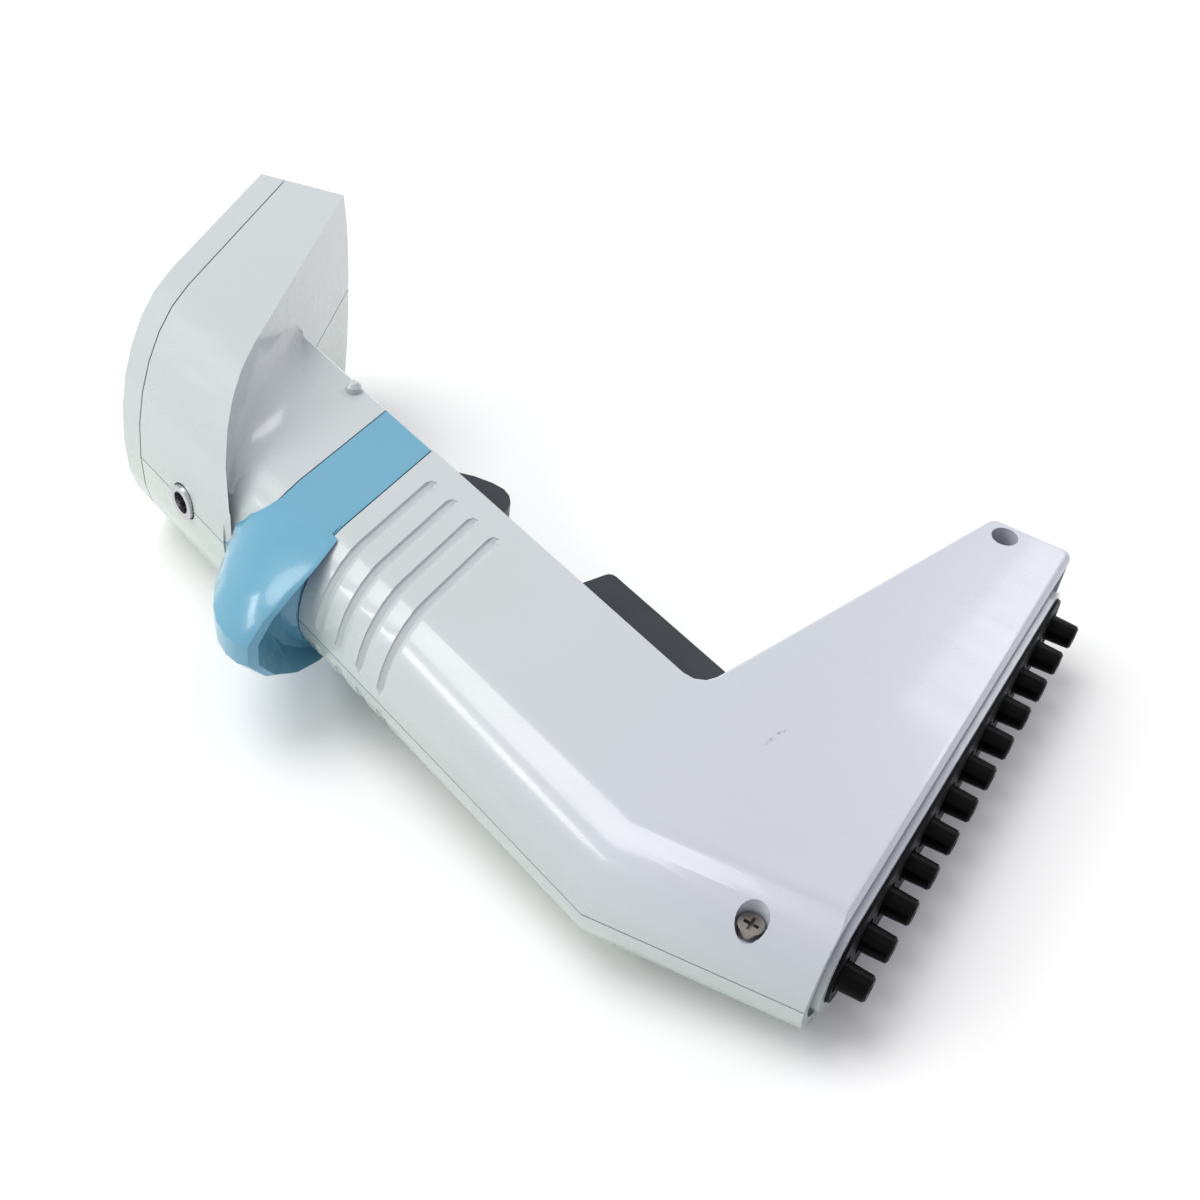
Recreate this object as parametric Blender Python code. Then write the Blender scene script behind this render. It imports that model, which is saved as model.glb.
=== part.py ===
"""Electronic multichannel pipette with a row of twelve nozzles, lying on its side.

Metres, +Z up. The nozzles point along +X and their row runs along Y, with the nozzle ends at X = 0
and the middle of the row at Y = 0 in the row frame. The handle leans back from the row and has a
frame of its own: a runs along it towards the nozzles, b towards the trigger side, z across it.
The head frame lies in the display face: s runs along the face from its tip, p into the head.
"""

from math import cos, pi, radians, sin, sqrt, tan

import bmesh
import bpy
from mathutils import Matrix, Vector
from mathutils.geometry import interpolate_bezier

# Clearances and walls
SEAM = 0.0003
RUN_GAP = 0.0003
WALL = 0.0022
THIN = 0.00002
MERGE = 0.000002
FLAT_ANGLE = radians(0.03)
BEYOND = 0.3

# Row of nozzles
NOZZLE_COUNT = 12
NOZZLE_PITCH = 0.009
NOZZLE_TIP_RADIUS = 0.00241
NOZZLE_ROOT_RADIUS = 0.00296
NOZZLE_LENGTH = 0.012
NOZZLE_BORE = 0.0009
NOZZLE_RIM = 0.0004

# Handle and manifold, one moulding on each side of the parting plane
BODY_HALF = 0.0135
HANDLE_DEPTH = 0.041
HANDLE_TILT = radians(18.65)
HANDLE_ORIGIN = Vector((-0.0565, -0.0385, 0.0))
MOUTH_X = -0.007
ROW_END_MARGIN = 0.0079
NEAR_END_Y = -0.0596
NEAR_SIDE_SLANT = radians(6.2)
HOUSING_TOP_X = -0.1238
EDGE_FILLET = 0.001
MOUTH_FILLET = 0.0015
SHOULDER_FILLET = 0.004
END_FILLET = 0.002
ROUND_STEPS = 7

# Grip grooves round the back of the handle
GROOVE_FIRST_X = -0.1179
GROOVE_PITCH = 0.0062
GROOVE_COUNT = 4
GROOVE_DEPTH = 0.001
GROOVE_WIDTH = 0.0028
GROOVE_FRONT_MARGIN = 0.0076
GROOVE_END_Z = 0.0032

# Collar with its finger hook
COLLAR_TOP_X = -0.1384
COLLAR_SWEEP = 0.0096
COLLAR_SWEEP_DEPTH = 0.011
SPIGOT_LENGTH = 0.005
SPIGOT_WALL = 0.0018
TRIGGER_BAY_B = 0.008
HOOK_TOP_A = -0.0878
HOOK_TIP_A = -0.0603
HOOK_ROOT_A = -0.0648
HOOK_REACH = 0.015
HOOK_HALF_WIDTH = 0.0135
HOOK_STATIONS = 13

# Head
HEAD_HALF = 0.027
HEAD_TIP = Vector((-0.1641, 0.0355, 0.0))
FACE_LEAN = radians(32.5)
FACE_LENGTH = 0.0668
HEAD_TIP_DEPTH = 0.01974
HEAD_HEEL_DEPTH = 0.0261
HEAD_HEEL_S = 0.0574
TIP_BOW = 0.004
TIP_BOW_POWER = 2.5
HOOD_ROUND_B = -0.0005
HOOD_POWER = 2.2
HEAD_FILLET = 0.012
BEZEL_DEPTH = 0.0056
RIM_END_A = -0.084
RIM_PULL = 0.0165
RIM_END_PULL = (-0.009, 0.0009)
HOOD_PROUD = 0.0004
HEAD_REACH = 0.04
FILLET_ROOT = 0.002

# Display face
FACE_WALL = 0.002
WINDOW_S = 0.0205
WINDOW_LENGTH = 0.0256
WINDOW_WIDTH = 0.036
WINDOW_THICKNESS = 0.0012
WINDOW_LEDGE = 0.0015
WINDOW_SINK = 0.0001
LCD_MARGIN = 0.0004
LCD_BACK_P = 0.0072
BOARD_THICKNESS = 0.0016
BOARD_LOW_S = 0.0065
BOARD_HIGH_S = 0.0535
BOARD_HALF_WIDTH = 0.0217
POST_RADIUS = 0.0013
POST_INSET = 0.0016
KEY_FIRST_S = 0.0395
KEY_PITCH_S = 0.0092
KEY_PITCH_Z = 0.0175
KEY_LENGTH = 0.007
KEY_WIDTH = 0.0125
KEY_CORNER = 0.002
KEY_PROUD = 0.0008
KEY_FLANGE = 0.001
KEY_FLANGE_THICKNESS = 0.001
KEY_STEM_END = 0.0043
KEY_TRAVEL = 0.0006
MAT_LOW_S = 0.0352
MAT_HIGH_S = 0.0530
MAT_HALF_WIDTH = 0.0165

# Charging jack and the hanging nub
JACK_A = -0.1048
JACK_RADIUS = 0.0037
JACK_BORE = 0.0024
JACK_PIN = 0.0008
JACK_PROUD = 0.0006
JACK_LENGTH = 0.0105
JACK_BORE_DEPTH = 0.007
NUB_PLACE = (-0.1477, 0.0111)
NUB_RADIUS = 0.0016
NUB_HEIGHT = 0.002

# Battery
BATTERY_TOP_A = -0.119
BATTERY_END_A = -0.0772

# Housing screws
SCREW_X = -0.020
FAR_SCREW_Y = 0.0531
NEAR_SCREW_Y = -0.056
SCREW_WELL_RADIUS = 0.0027
SCREW_WELL_WALL = 0.0008
SCREW_SEAT_Z = 0.0072
SCREW_WELL_FLOOR = 0.0009
SCREW_HEAD_RADIUS = 0.0022
SCREW_HEAD_HEIGHT = 0.0017
CROSS_WIDTH = 0.0006
SCREW_SHANK_RADIUS = 0.001
SCREW_SHANK_END_Z = -0.0085
POST_WALL = 0.0009
POST_RADIUS_OUT = SCREW_SHANK_RADIUS + SEAM + POST_WALL

# Drive that moves the pistons
CHASSIS_TOP_A = -0.0622
CHASSIS_BRIDGE = 0.0017
CHASSIS_PLATE_A = -0.043
CHASSIS_PLATE = 0.003
CHASSIS_HALF_Z = 0.0105
RAIL_THICKNESS = 0.0021
RAIL_HALF_B = 0.0078
PLATE_LOW_B = -0.010
PLATE_HIGH_B = 0.0125
MOTOR_RADIUS = 0.0078
MOTOR_LENGTH = 0.015
MOTOR_BOSS = 0.0038
SCREW_RADIUS = 0.002
SCREW_END_A = -0.0165
ROD_RADIUS = 0.0013
ROD_B = 0.0082
CARRIAGE_A = -0.0395
CARRIAGE_THICKNESS = 0.005
CARRIAGE_HALF_B = 0.0124
CARRIAGE_HALF_Z = 0.008

# Cylinders, air channels and the nozzle block
CYLINDER_TOP_A = -0.021
CYLINDER_END_A = -0.003
CYLINDER_HALF_B = 0.0129
CYLINDER_HALF_Z = 0.0081
PISTON_PITCH = 0.0042
PISTON_ROW_Z = 0.0043
PISTON_RADIUS = 0.00145
PISTON_ENTRY = 0.002
RACK_BAR = 0.002
RACK_BAR_HALF = 0.0023
PLATE_HALF = 0.0052
ROW_PLATE_MARGIN = 0.0022
FAN_BEND_X = -0.0465
FAN_BEND_Y = -0.056
FAN_NEAR_X = -0.0275
FAN_NEAR_Y = -0.0553
CHANNEL_WIDTH = 0.0013
CHANNEL_DEPTH = 0.0018
CHANNEL_STEPS = 7
CHANNEL_REACH = 0.0035
CHANNEL_REACH_STEP = 0.0032
CHANNEL_RUN = 0.013
CHANNEL_COVER = 0.0015
BLOCK_BACK_X = -0.0157
BLOCK_FACE_X = -0.0095
BLOCK_HALF_Z = 0.0081
BLOCK_END_MARGIN = 0.0009
NOZZLE_STUB_RADIUS = 0.0021
NOZZLE_STUB_X = -0.0139
BLOCK_RIB_HEIGHT = 0.0025

# Tip ejector
SKIRT_FACE_X = -0.0058
SKIRT_THICKNESS = 0.0028
SKIRT_HALF_Z = 0.0099
SKIRT_END_GAP = 0.0019
SKIRT_WALL = 0.0014
SKIRT_END_ROUND = 0.9
PLATE_PROUD = 0.0006
NOZZLE_CLEARANCE = 0.0004
STRAP_LOW_Z = 0.0084
STRAP_HIGH_Z = 0.0099
STRAP_LOW_Y = -0.047
STRAP_HIGH_Y = -0.035
STRAP_TOP_X = -0.0524

# Levers on the trigger side
EJECT_PIVOT = (-0.0048, 0.0165)
EJECT_ARM = 0.0239
LEVER_TOP_A = -0.0353
LEVER_END_GAP = 0.0006
LEVER_PROUD = 0.0094
LEVER_LEAN = 0.0012
LEVER_HALF_Z = 0.009
LEVER_BOSS = 0.0027
TRIGGER_PIVOT = (-0.0735, 0.016)
TRIGGER_HALF_Z = 0.008
TRIGGER_TOP_A = -0.0765
TRIGGER_END_A = -0.0595
TRIGGER_PROUD = 0.0082
TRIGGER_GAP = 0.0016
SLOT_GAP = 0.0005
SLOT_FLOOR_B = 0.009
PIN_RADIUS = 0.00125
PIN_END_Z = 0.0124

# Switch under the run trigger
SWITCH_HALF_Z = 0.0032
SWITCH_TOP_B = 0.0143
SWITCH_DEPTH = 0.0052
SWITCH_LENGTH = 0.0085
SWITCH_BUTTON = 0.0009


def material(name, colour, roughness, metallic=0.0):
    """A plain Principled finish for one sub-part."""
    made = bpy.data.materials.new(name)
    made.use_nodes = True
    shader = made.node_tree.nodes["Principled BSDF"]
    shader.inputs["Base Color"].default_value = (*colour, 1.0)
    shader.inputs["Roughness"].default_value = roughness
    shader.inputs["Metallic"].default_value = metallic
    made.diffuse_color = (*colour, 1.0)
    return made


def loft(rings):
    """A closed solid through rings that all have the same number of points."""
    count = len(rings[0])
    points = [Vector(point) for ring in rings for point in ring]
    faces = [tuple(range(count)), tuple(range(len(points) - count, len(points)))]
    for k in range(len(rings) - 1):
        for i in range(count):
            j = (i + 1) % count
            faces.append((k * count + i, k * count + j, (k + 1) * count + j, (k + 1) * count + i))
    return points, faces


def prism(outline, low, high):
    """A flat outline raised along z from low to high."""
    return loft([[(x, y, z) for x, y in outline] for z in (low, high)])


def block(low, high):
    """A box between two corners."""
    outline = [(low[0], low[1]), (high[0], low[1]), (high[0], high[1]), (low[0], high[1])]
    return prism(outline, low[2], high[2])


def turned(profile, sides=24):
    """A solid turned about the x axis from (x, radius) points, each radius above zero."""
    angles = [2 * pi * k / sides for k in range(sides)]
    return loft([[(x, r * cos(t), r * sin(t)) for t in angles] for x, r in profile])


def rod(start, end, radius, sides=24):
    """A round bar between two points."""
    start = Vector(start)
    along = Vector(end) - start
    turn = Vector((1, 0, 0)).rotation_difference(along).to_matrix().to_4x4()
    return moved(turned([(0, radius), (along.length, radius)], sides), Matrix.Translation(start) @ turn)


def moved(solid, matrix):
    """The solid placed by a matrix."""
    points, faces = solid
    return [matrix @ point for point in points], faces


def mirrored(solid):
    """The solid's mirror image across the parting plane."""
    return moved(solid, Matrix.Diagonal((1, 1, -1, 1)))


def together(*solids):
    """Several solids that don't touch, as one set of points and faces."""
    points = []
    faces = []
    for more_points, more_faces in solids:
        start = len(points)
        points += more_points
        faces += [tuple(start + i for i in face) for face in more_faces]
    return points, faces


def mesh_of(name, solid):
    """A mesh of the solid with its faces pointing out."""
    bm = bmesh.new()
    vertices = [bm.verts.new(point) for point in solid[0]]
    for face in solid[1]:
        bm.faces.new([vertices[i] for i in face])
    bmesh.ops.recalc_face_normals(bm, faces=bm.faces)
    bmesh.ops.triangulate(bm, faces=bm.faces)
    mesh = bpy.data.meshes.new(name)
    bm.to_mesh(mesh)
    bm.free()
    return mesh


def combined(operation, body, tools, solver):
    """The body after a Boolean with each tool in turn."""
    helpers = []
    for k, solid in enumerate((body, *tools)):
        helper = bpy.data.objects.new(f"helper_{k}", mesh_of("helper", solid))
        helper.hide_render = True
        helper.display_type = "WIRE"
        bpy.context.scene.collection.objects.link(helper)
        helpers.append(helper)
    for helper in helpers[1:]:
        modifier = helpers[0].modifiers.new(operation, "BOOLEAN")
        modifier.operation = operation
        modifier.solver = solver
        modifier.object = helper
    bpy.context.view_layer.update()
    bm = bmesh.new()
    bm.from_mesh(helpers[0].evaluated_get(bpy.context.evaluated_depsgraph_get()).to_mesh())
    bmesh.ops.remove_doubles(bm, verts=bm.verts, dist=MERGE)
    bmesh.ops.dissolve_degenerate(bm, edges=bm.edges, dist=MERGE)
    bmesh.ops.dissolve_limit(bm, angle_limit=FLAT_ANGLE, verts=bm.verts, edges=bm.edges)
    bm.verts.index_update()
    points = [vertex.co.copy() for vertex in bm.verts]
    faces = [[vertex.index for vertex in face.verts] for face in bm.faces]
    bm.free()
    for helper in helpers:
        data = helper.data
        bpy.data.objects.remove(helper)
        bpy.data.meshes.remove(data)
    return points, faces


def joined(body, *tools, solver="EXACT"):
    """One body made of solids that overlap."""
    return combined("UNION", body, tools, solver)


def cut(body, *tools, solver="EXACT"):
    """The body less each tool."""
    return combined("DIFFERENCE", body, tools, solver)


def kept(body, *tools, solver="EXACT"):
    """What lies inside the body and every tool."""
    return combined("INTERSECT", body, tools, solver)


HANDLE_FRAME = Matrix.Translation(HANDLE_ORIGIN) @ Matrix.Rotation(-HANDLE_TILT, 4, "Z")
HEAD_FRAME = HANDLE_FRAME @ Matrix.Translation(HEAD_TIP) @ Matrix.Rotation(FACE_LEAN - pi / 2, 4, "Z")


def in_handle(solid):
    """Takes a solid from the handle's frame (a, b, z) to the row frame."""
    return moved(solid, HANDLE_FRAME)


def in_head(solid):
    """Takes a solid from the head's frame (s, p, z) to the row frame."""
    return moved(solid, HEAD_FRAME)


def handle_point(a, b):
    """The row frame's (x, y) of a handle point."""
    return (HANDLE_FRAME @ Vector((a, b, 0))).to_2d()


def meeting(first, second):
    """Where two lines meet, each given as a point and a direction."""
    (start, along), (other, other_along) = first, second
    return start + along * ((other - start).cross(other_along) / along.cross(other_along))


def round_inset(half, z):
    """How far a full round of this half height has drawn in at height z."""
    return half - sqrt(max(half * half - z * z, 0.0))


def fillet_inset(radius, half, z):
    """How far an edge fillet has drawn in at height z, under a flat at the half height."""
    return round_inset(radius, max(abs(z) - half + radius, 0.0))


def rounded(corners, radii, steps=3):
    """A flat outline whose corners are arcs of the given radii."""
    ring = []
    for i, corner in enumerate(corners):
        if radii[i] == 0:
            ring.append(corner)
            continue
        back = (corners[i - 1] - corner).normalized()
        ahead = (corners[(i + 1) % len(corners)] - corner).normalized()
        half_angle = back.angle(ahead) / 2
        centre = corner + (back + ahead).normalized() * (radii[i] / sin(half_angle))
        start = corner + back * (radii[i] / tan(half_angle)) - centre
        turn = (pi - 2 * half_angle) * (1 if ahead.cross(back) > 0 else -1)
        ring += [centre + Matrix.Rotation(turn * k / steps, 2) @ start for k in range(steps + 1)]
    return ring


# The row frame's outline of the housing, as lines and the corners between them.
HALF_DEPTH = HANDLE_DEPTH / 2
HANDLE_ALONG = (HANDLE_FRAME.to_3x3() @ Vector((1, 0, 0))).to_2d()
HANDLE_ACROSS = (HANDLE_FRAME.to_3x3() @ Vector((0, 1, 0))).to_2d()
FAR_END_Y = NOZZLE_PITCH * (NOZZLE_COUNT - 1) / 2 + ROW_END_MARGIN


def housing_ring(top_x, mouth_x, wall, insets, radii):
    """The housing's outline with each edge drawn in: top, spine, near side, end, shoulder, front."""
    near_side = Vector((cos(NEAR_SIDE_SLANT), sin(NEAR_SIDE_SLANT)))
    lines = [
        (Vector((top_x, 0)), Vector((0, -1)), 0),
        (handle_point(0, -HALF_DEPTH), HANDLE_ALONG, wall + insets["spine"]),
        (Vector((MOUTH_X, NEAR_END_Y)), near_side, wall + insets["spine"]),
        (Vector((mouth_x, 0)), Vector((0, 1)), insets["mouth"]),
        (Vector((0, FAR_END_Y)), Vector((-1, 0)), wall + insets["edge"]),
        (handle_point(0, 0), -HANDLE_ACROSS, wall + insets["edge"]),
        (handle_point(0, HALF_DEPTH), -HANDLE_ALONG, wall + insets["edge"]),
    ]
    moved_in = [(point + Vector((-along.y, along.x)) * inset, along) for point, along, inset in lines]
    corners = [meeting(moved_in[i], moved_in[(i + 1) % len(lines)]) for i in range(len(lines))]
    return rounded(corners, radii)


def levels(low, half):
    """Heights from low up to the flat, closer together where a full round turns fastest."""
    heights = [half * sin(pi / 2 * k / ROUND_STEPS) for k in range(1, ROUND_STEPS)]
    return [low, *heights, half - EDGE_FILLET * 0.13, half]


def housing_solid(low, wall, mouth_x, top_x):
    """One side of the housing, from the parting plane to its flat, drawn in by a wall."""
    half = BODY_HALF - wall
    rings = []
    for z in levels(low, half):
        insets = {
            "spine": round_inset(half, z),
            "mouth": fillet_inset(MOUTH_FILLET, half, z) if wall == 0 else 0,
            "edge": fillet_inset(EDGE_FILLET, half, z),
        }
        end = 0 if wall else END_FILLET - insets["edge"]
        mouth_end = 0 if wall else END_FILLET / 2
        shoulder = SHOULDER_FILLET + wall + insets["edge"]
        radii = [0, 0, 0, mouth_end, end, shoulder, 0]
        rings.append([(x, y, z) for x, y in housing_ring(top_x, mouth_x, wall, insets, radii)])
    return loft(rings)


def groove_cutter(x):
    """A round bar bent over the flat and round the back of the handle, in a plane across X."""
    radius = (GROOVE_WIDTH**2 / 4 + GROOVE_DEPTH**2) / (2 * GROOVE_DEPTH)
    lift = radius - GROOVE_DEPTH
    stretch = 1 / cos(HANDLE_TILT)
    front_y = meeting((Vector((x, 0)), Vector((0, 1))), (handle_point(0, HALF_DEPTH), HANDLE_ALONG)).y
    spine_y = meeting((Vector((x, 0)), Vector((0, 1))), (handle_point(0, -HALF_DEPTH), HANDLE_ALONG)).y
    centre_y = spine_y + BODY_HALF * stretch
    bend = BODY_HALF + lift
    path = [(front_y - GROOVE_FRONT_MARGIN, bend)]
    steps = 6
    last = pi / 2 - GROOVE_END_Z / BODY_HALF
    turns = [last * k / steps for k in range(steps + 1)]
    path += [(centre_y - bend * stretch * sin(turn), bend * cos(turn)) for turn in turns]
    rings = []
    sides = 8
    for k, (y, z) in enumerate(path):
        before = Vector(path[max(k - 1, 0)])
        after = Vector(path[min(k + 1, len(path) - 1)])
        along = (after - before).normalized()
        across = Vector((-along.y, along.x))
        ring = []
        for i in range(sides):
            angle = 2 * pi * i / sides
            out = across * (radius * cos(angle))
            ring.append((x + radius * sin(angle), y + out.x, z + out.y))
        if k == 0:
            rings.append([cap_point(point, (x, y, z), -along, radius) for point in ring])
        rings.append(ring)
        if k == len(path) - 1:
            rings.append([cap_point(point, (x, y, z), along, radius) for point in ring])
    return loft(rings)


def cap_point(point, centre, along, radius):
    """A point of the rounded end beyond a ring of a bar."""
    centre = Vector(centre)
    drawn_in = centre + (Vector(point) - centre) * cos(radians(55))
    return drawn_in + Vector((0, along.x, along.y)) * (radius * sin(radians(55)))


# Collar, hook and head, all in the handle's frame.
RING_STEPS = 2 * ROUND_STEPS


def at_x(x, b):
    """The row frame's point with a given x that lies at b across the handle."""
    y = HANDLE_ORIGIN.y + (b - (x - HANDLE_ORIGIN.x) * sin(HANDLE_TILT)) / cos(HANDLE_TILT)
    return x, y


def handle_section(inset, low, high):
    """The handle's section, flat at the front and fully round at the back, drawn out along a."""
    half = BODY_HALF - inset
    centre = BODY_HALF - HALF_DEPTH
    front = HALF_DEPTH - inset
    corner = max(EDGE_FILLET - inset, THIN * 10)
    turns = [pi / 2 + pi * k / RING_STEPS for k in range(RING_STEPS + 1)]
    ring = [(front, -half + corner), (front, half - corner), (front - corner, half)]
    ring += [(centre + half * cos(t), half * sin(t)) for t in turns]
    ring += [(front - corner, -half)]
    return in_handle(loft([[(a, b, z) for b, z in ring] for a in (low, high)]))


def band(low_x, rise):
    """The side view of the collar from a lower edge up to its swept top edge, raised by rise."""
    wide = HANDLE_DEPTH
    sweep_start = COLLAR_SWEEP_DEPTH - HALF_DEPTH
    top = [(COLLAR_TOP_X - rise, wide)]
    steps = 6
    for k in range(steps + 1):
        turn = pi / 2 * k / steps
        swept = COLLAR_SWEEP * (1 - cos(turn))
        top.append((COLLAR_TOP_X - rise - swept, sweep_start - COLLAR_SWEEP_DEPTH * sin(turn)))
    top.append((top[-1][0], -wide))
    outline = [at_x(low_x, -wide), at_x(low_x, wide)] + [at_x(x, b) for x, b in top]
    return prism(outline, -2 * HEAD_HALF, 2 * HEAD_HALF)


def curve(start, start_pull, end_pull, end, steps):
    """Points along a Bezier curve, without its first."""
    knots = [Vector((*knot, 0)) for knot in (start, start_pull, end_pull, end)]
    return [point.to_2d() for point in interpolate_bezier(*knots, steps + 1)[1:]]


def hook():
    """The finger hook, a rounded fin that curls off the back of the collar over the hand."""
    root = -(HALF_DEPTH - BODY_HALF)
    reach = HOOK_REACH
    crest = (HOOK_TIP_A - reach * 0.38, reach)
    nose = (HOOK_TIP_A, reach * 0.77)
    side = [Vector((HOOK_TOP_A, 0))]
    side += curve(side[0], (HOOK_TOP_A + reach * 0.6, reach * 0.7), (crest[0] - reach * 0.4, reach), crest, 5)
    side += curve(crest, (crest[0] + reach * 0.23, reach), (HOOK_TIP_A, reach * 0.91), nose, 3)
    under = (HOOK_TIP_A - reach * 0.15, reach * 0.55)
    side += curve(nose, under, (HOOK_ROOT_A - reach * 0.37, reach * 0.3), (HOOK_ROOT_A, 0.0), 5)
    rings = []
    for k in range(1, HOOK_STATIONS):
        turn = pi / 2 * (1 - cos(pi * k / HOOK_STATIONS))
        z = -HOOK_HALF_WIDTH * cos(turn)
        ring = [(HOOK_ROOT_A, root, z), (HOOK_TOP_A, root, z)]
        spine = root - sqrt(BODY_HALF**2 - z**2)
        ring += [(point.x, spine - point.y * sin(turn), z) for point in side]
        rings.append(ring)
    fin = kept(in_handle(loft(rings)), band(MOUTH_X, -SEAM), solver="MANIFOLD")
    housing_space = kept(
        handle_section(-SEAM, HOOK_TOP_A, 0.0),
        block((HOUSING_TOP_X - 2 * SEAM, -BEYOND, -BEYOND), (0.0, BEYOND, BEYOND)),
    )
    return cut(fin, housing_space, solver="MANIFOLD")


def hood_section(inset, low, high):
    """The head's section across the handle, flat sided in front and rounded over the back, along a."""
    half = HEAD_HALF - inset
    depth = HALF_DEPTH + HOOD_PROUD + HOOD_ROUND_B - inset
    steps = 12
    ring = [(2 * HEAD_REACH, -half), (2 * HEAD_REACH, half)]
    for k in range(steps + 1):
        turn = pi * k / steps
        b = HOOD_ROUND_B - depth * abs(sin(turn)) ** (2 / HOOD_POWER)
        z = half * abs(cos(turn)) ** (2 / HOOD_POWER)
        ring.append((b, z if turn < pi / 2 else -z))
    return in_handle(loft([[(a, b, z) for b, z in ring] for a in (low, high)]))


def to_handle(s, p):
    """A head point in the handle's (a, b)."""
    lean = FACE_LEAN
    return Vector((HEAD_TIP.x + s * sin(lean) + p * cos(lean), HEAD_TIP.y - s * cos(lean) + p * sin(lean)))


def underside():
    """The head's lower edge seen from the side, from its tip to where it runs out on the spine."""
    tip = to_handle(0, HEAD_TIP_DEPTH)
    heel = to_handle(HEAD_HEEL_S, HEAD_HEEL_DEPTH)
    along = (heel - tip).normalized()
    beyond = tip - along * HEAD_REACH
    end = Vector((RIM_END_A, -HALF_DEPTH - HOOD_PROUD - THIN * 10))
    pull = heel + along * RIM_PULL
    return [beyond, heel] + curve(heel, pull, end + Vector(RIM_END_PULL), end, 6)


def drawn_in(outline, distance):
    """An open or closed run of points moved sideways to its left by a distance."""
    result = []
    for i, point in enumerate(outline):
        before = (point - outline[i - 1]).normalized() if i else None
        after = (outline[i + 1] - point).normalized() if i + 1 < len(outline) else None
        before = before or after
        after = after or before
        first = Vector((-before.y, before.x))
        second = Vector((-after.y, after.x))
        result.append(point + (first + second) * (distance / (1 + first.dot(second))))
    return result


def head_side(face_p, inset):
    """The head's side view between the face and the underside, raised across the full width."""
    lower = drawn_in(underside(), -inset)
    face = [to_handle(FACE_LENGTH + HEAD_REACH, face_p), to_handle(-HEAD_REACH, face_p)]
    outline = [tuple(point) for point in lower + [Vector((RIM_END_A, -2 * HALF_DEPTH))] + face]
    return in_handle(prism(outline, -2 * HEAD_HALF, 2 * HEAD_HALF))


def head_tip(inset):
    """Everything behind the head's bowed tip wall, seen along p."""
    steps = 12
    outline = []
    for k in range(steps + 1):
        z = HEAD_HALF * (2 * k / steps - 1)
        s = inset - TIP_BOW * (1 - abs(z / HEAD_HALF) ** TIP_BOW_POWER)
        outline.append((s, z))
    outline = [(inset, -2 * HEAD_HALF), *outline, (inset, 2 * HEAD_HALF)]
    outline += [(FACE_LENGTH + HEAD_REACH, 2 * HEAD_HALF), (FACE_LENGTH + HEAD_REACH, -2 * HEAD_HALF)]
    return in_head(loft([[(s, p, z) for s, z in outline] for p in (-HEAD_REACH, 2 * HEAD_REACH)]))


def head_solid(face_p, inset):
    """The whole head without its neck, from a plane parallel to the face, drawn in by an inset."""
    top = HEAD_TIP.x - HEAD_REACH
    return kept(hood_section(inset, top, RIM_END_A + HEAD_REACH), head_side(face_p, inset), head_tip(inset))


def neck_fillet():
    """The hollow curve that runs the head's underside into each flat of the neck."""
    rim = underside()
    depth = HALF_DEPTH + HOOD_PROUD + HOOD_ROUND_B
    start = rim[0] + (rim[1] - rim[0]) * ((rim[0].y - HALF_DEPTH) / (rim[0].y - rim[1].y))
    stations = [start, (start + rim[1]) / 2, *rim[1:-2]]
    rings = []
    for i, point in enumerate(stations):
        along = (stations[min(i + 1, len(stations) - 1)] - stations[max(i - 1, 0)]).normalized()
        down = Vector((-along.y, along.x))
        share = min(max((HOOD_ROUND_B - point.y) / depth, 0), 1)
        rim_z = HEAD_HALF * (1 - share**HOOD_POWER) ** (1 / HOOD_POWER)
        radius = max(min(HEAD_FILLET * min(i / 2, 1), rim_z - BODY_HALF - EDGE_FILLET), EDGE_FILLET)
        deep = FILLET_ROOT
        ring = [(-deep, -deep), (radius, -deep)]
        ring += [(radius * (1 - sin(t)), radius * (1 - cos(t))) for t in (pi / 10 * k for k in range(6))]
        ring += [(-deep, radius)]
        rings.append([(point.x + down.x * d, point.y + down.y * d, BODY_HALF + z) for d, z in ring])
    front = in_handle(block((-BEYOND, -BEYOND, 0.0), (BEYOND, HALF_DEPTH - THIN, BEYOND)))
    inside = hood_section(SEAM / 2, HEAD_TIP.x - HEAD_REACH, RIM_END_A + HEAD_REACH)
    return kept(in_handle(loft(rings)), front, inside, solver="MANIFOLD")


# Places of the display face's parts, behind the face by p
BOARD_P = LCD_BACK_P + SEAM
KEYS = [(KEY_FIRST_S + KEY_PITCH_S * row, KEY_PITCH_Z * (side - 0.5)) for row in (0, 1) for side in (0, 1)]
POST_ENDS = [(s, z) for s in (BOARD_LOW_S + POST_INSET, BOARD_HIGH_S - POST_INSET)
             for z in (POST_INSET - BOARD_HALF_WIDTH, BOARD_HALF_WIDTH - POST_INSET)]


def face_block(s_range, p_range, half_width, z=0.0):
    """A box in the head's frame."""
    return in_head(block((s_range[0], p_range[0], z - half_width), (s_range[1], p_range[1], z + half_width)))


def face_pad(s, z, length, width, corner, p_range):
    """A flat pad with rounded corners, parallel to the face."""
    signs = ((-1, -1), (1, -1), (1, 1), (-1, 1))
    corners = [Vector((s + length / 2 * i, z + width / 2 * j)) for i, j in signs]
    ring = rounded(corners, [corner] * 4, 2)
    return in_head(loft([[(point.x, p, point.y) for point in ring] for p in p_range]))


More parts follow.
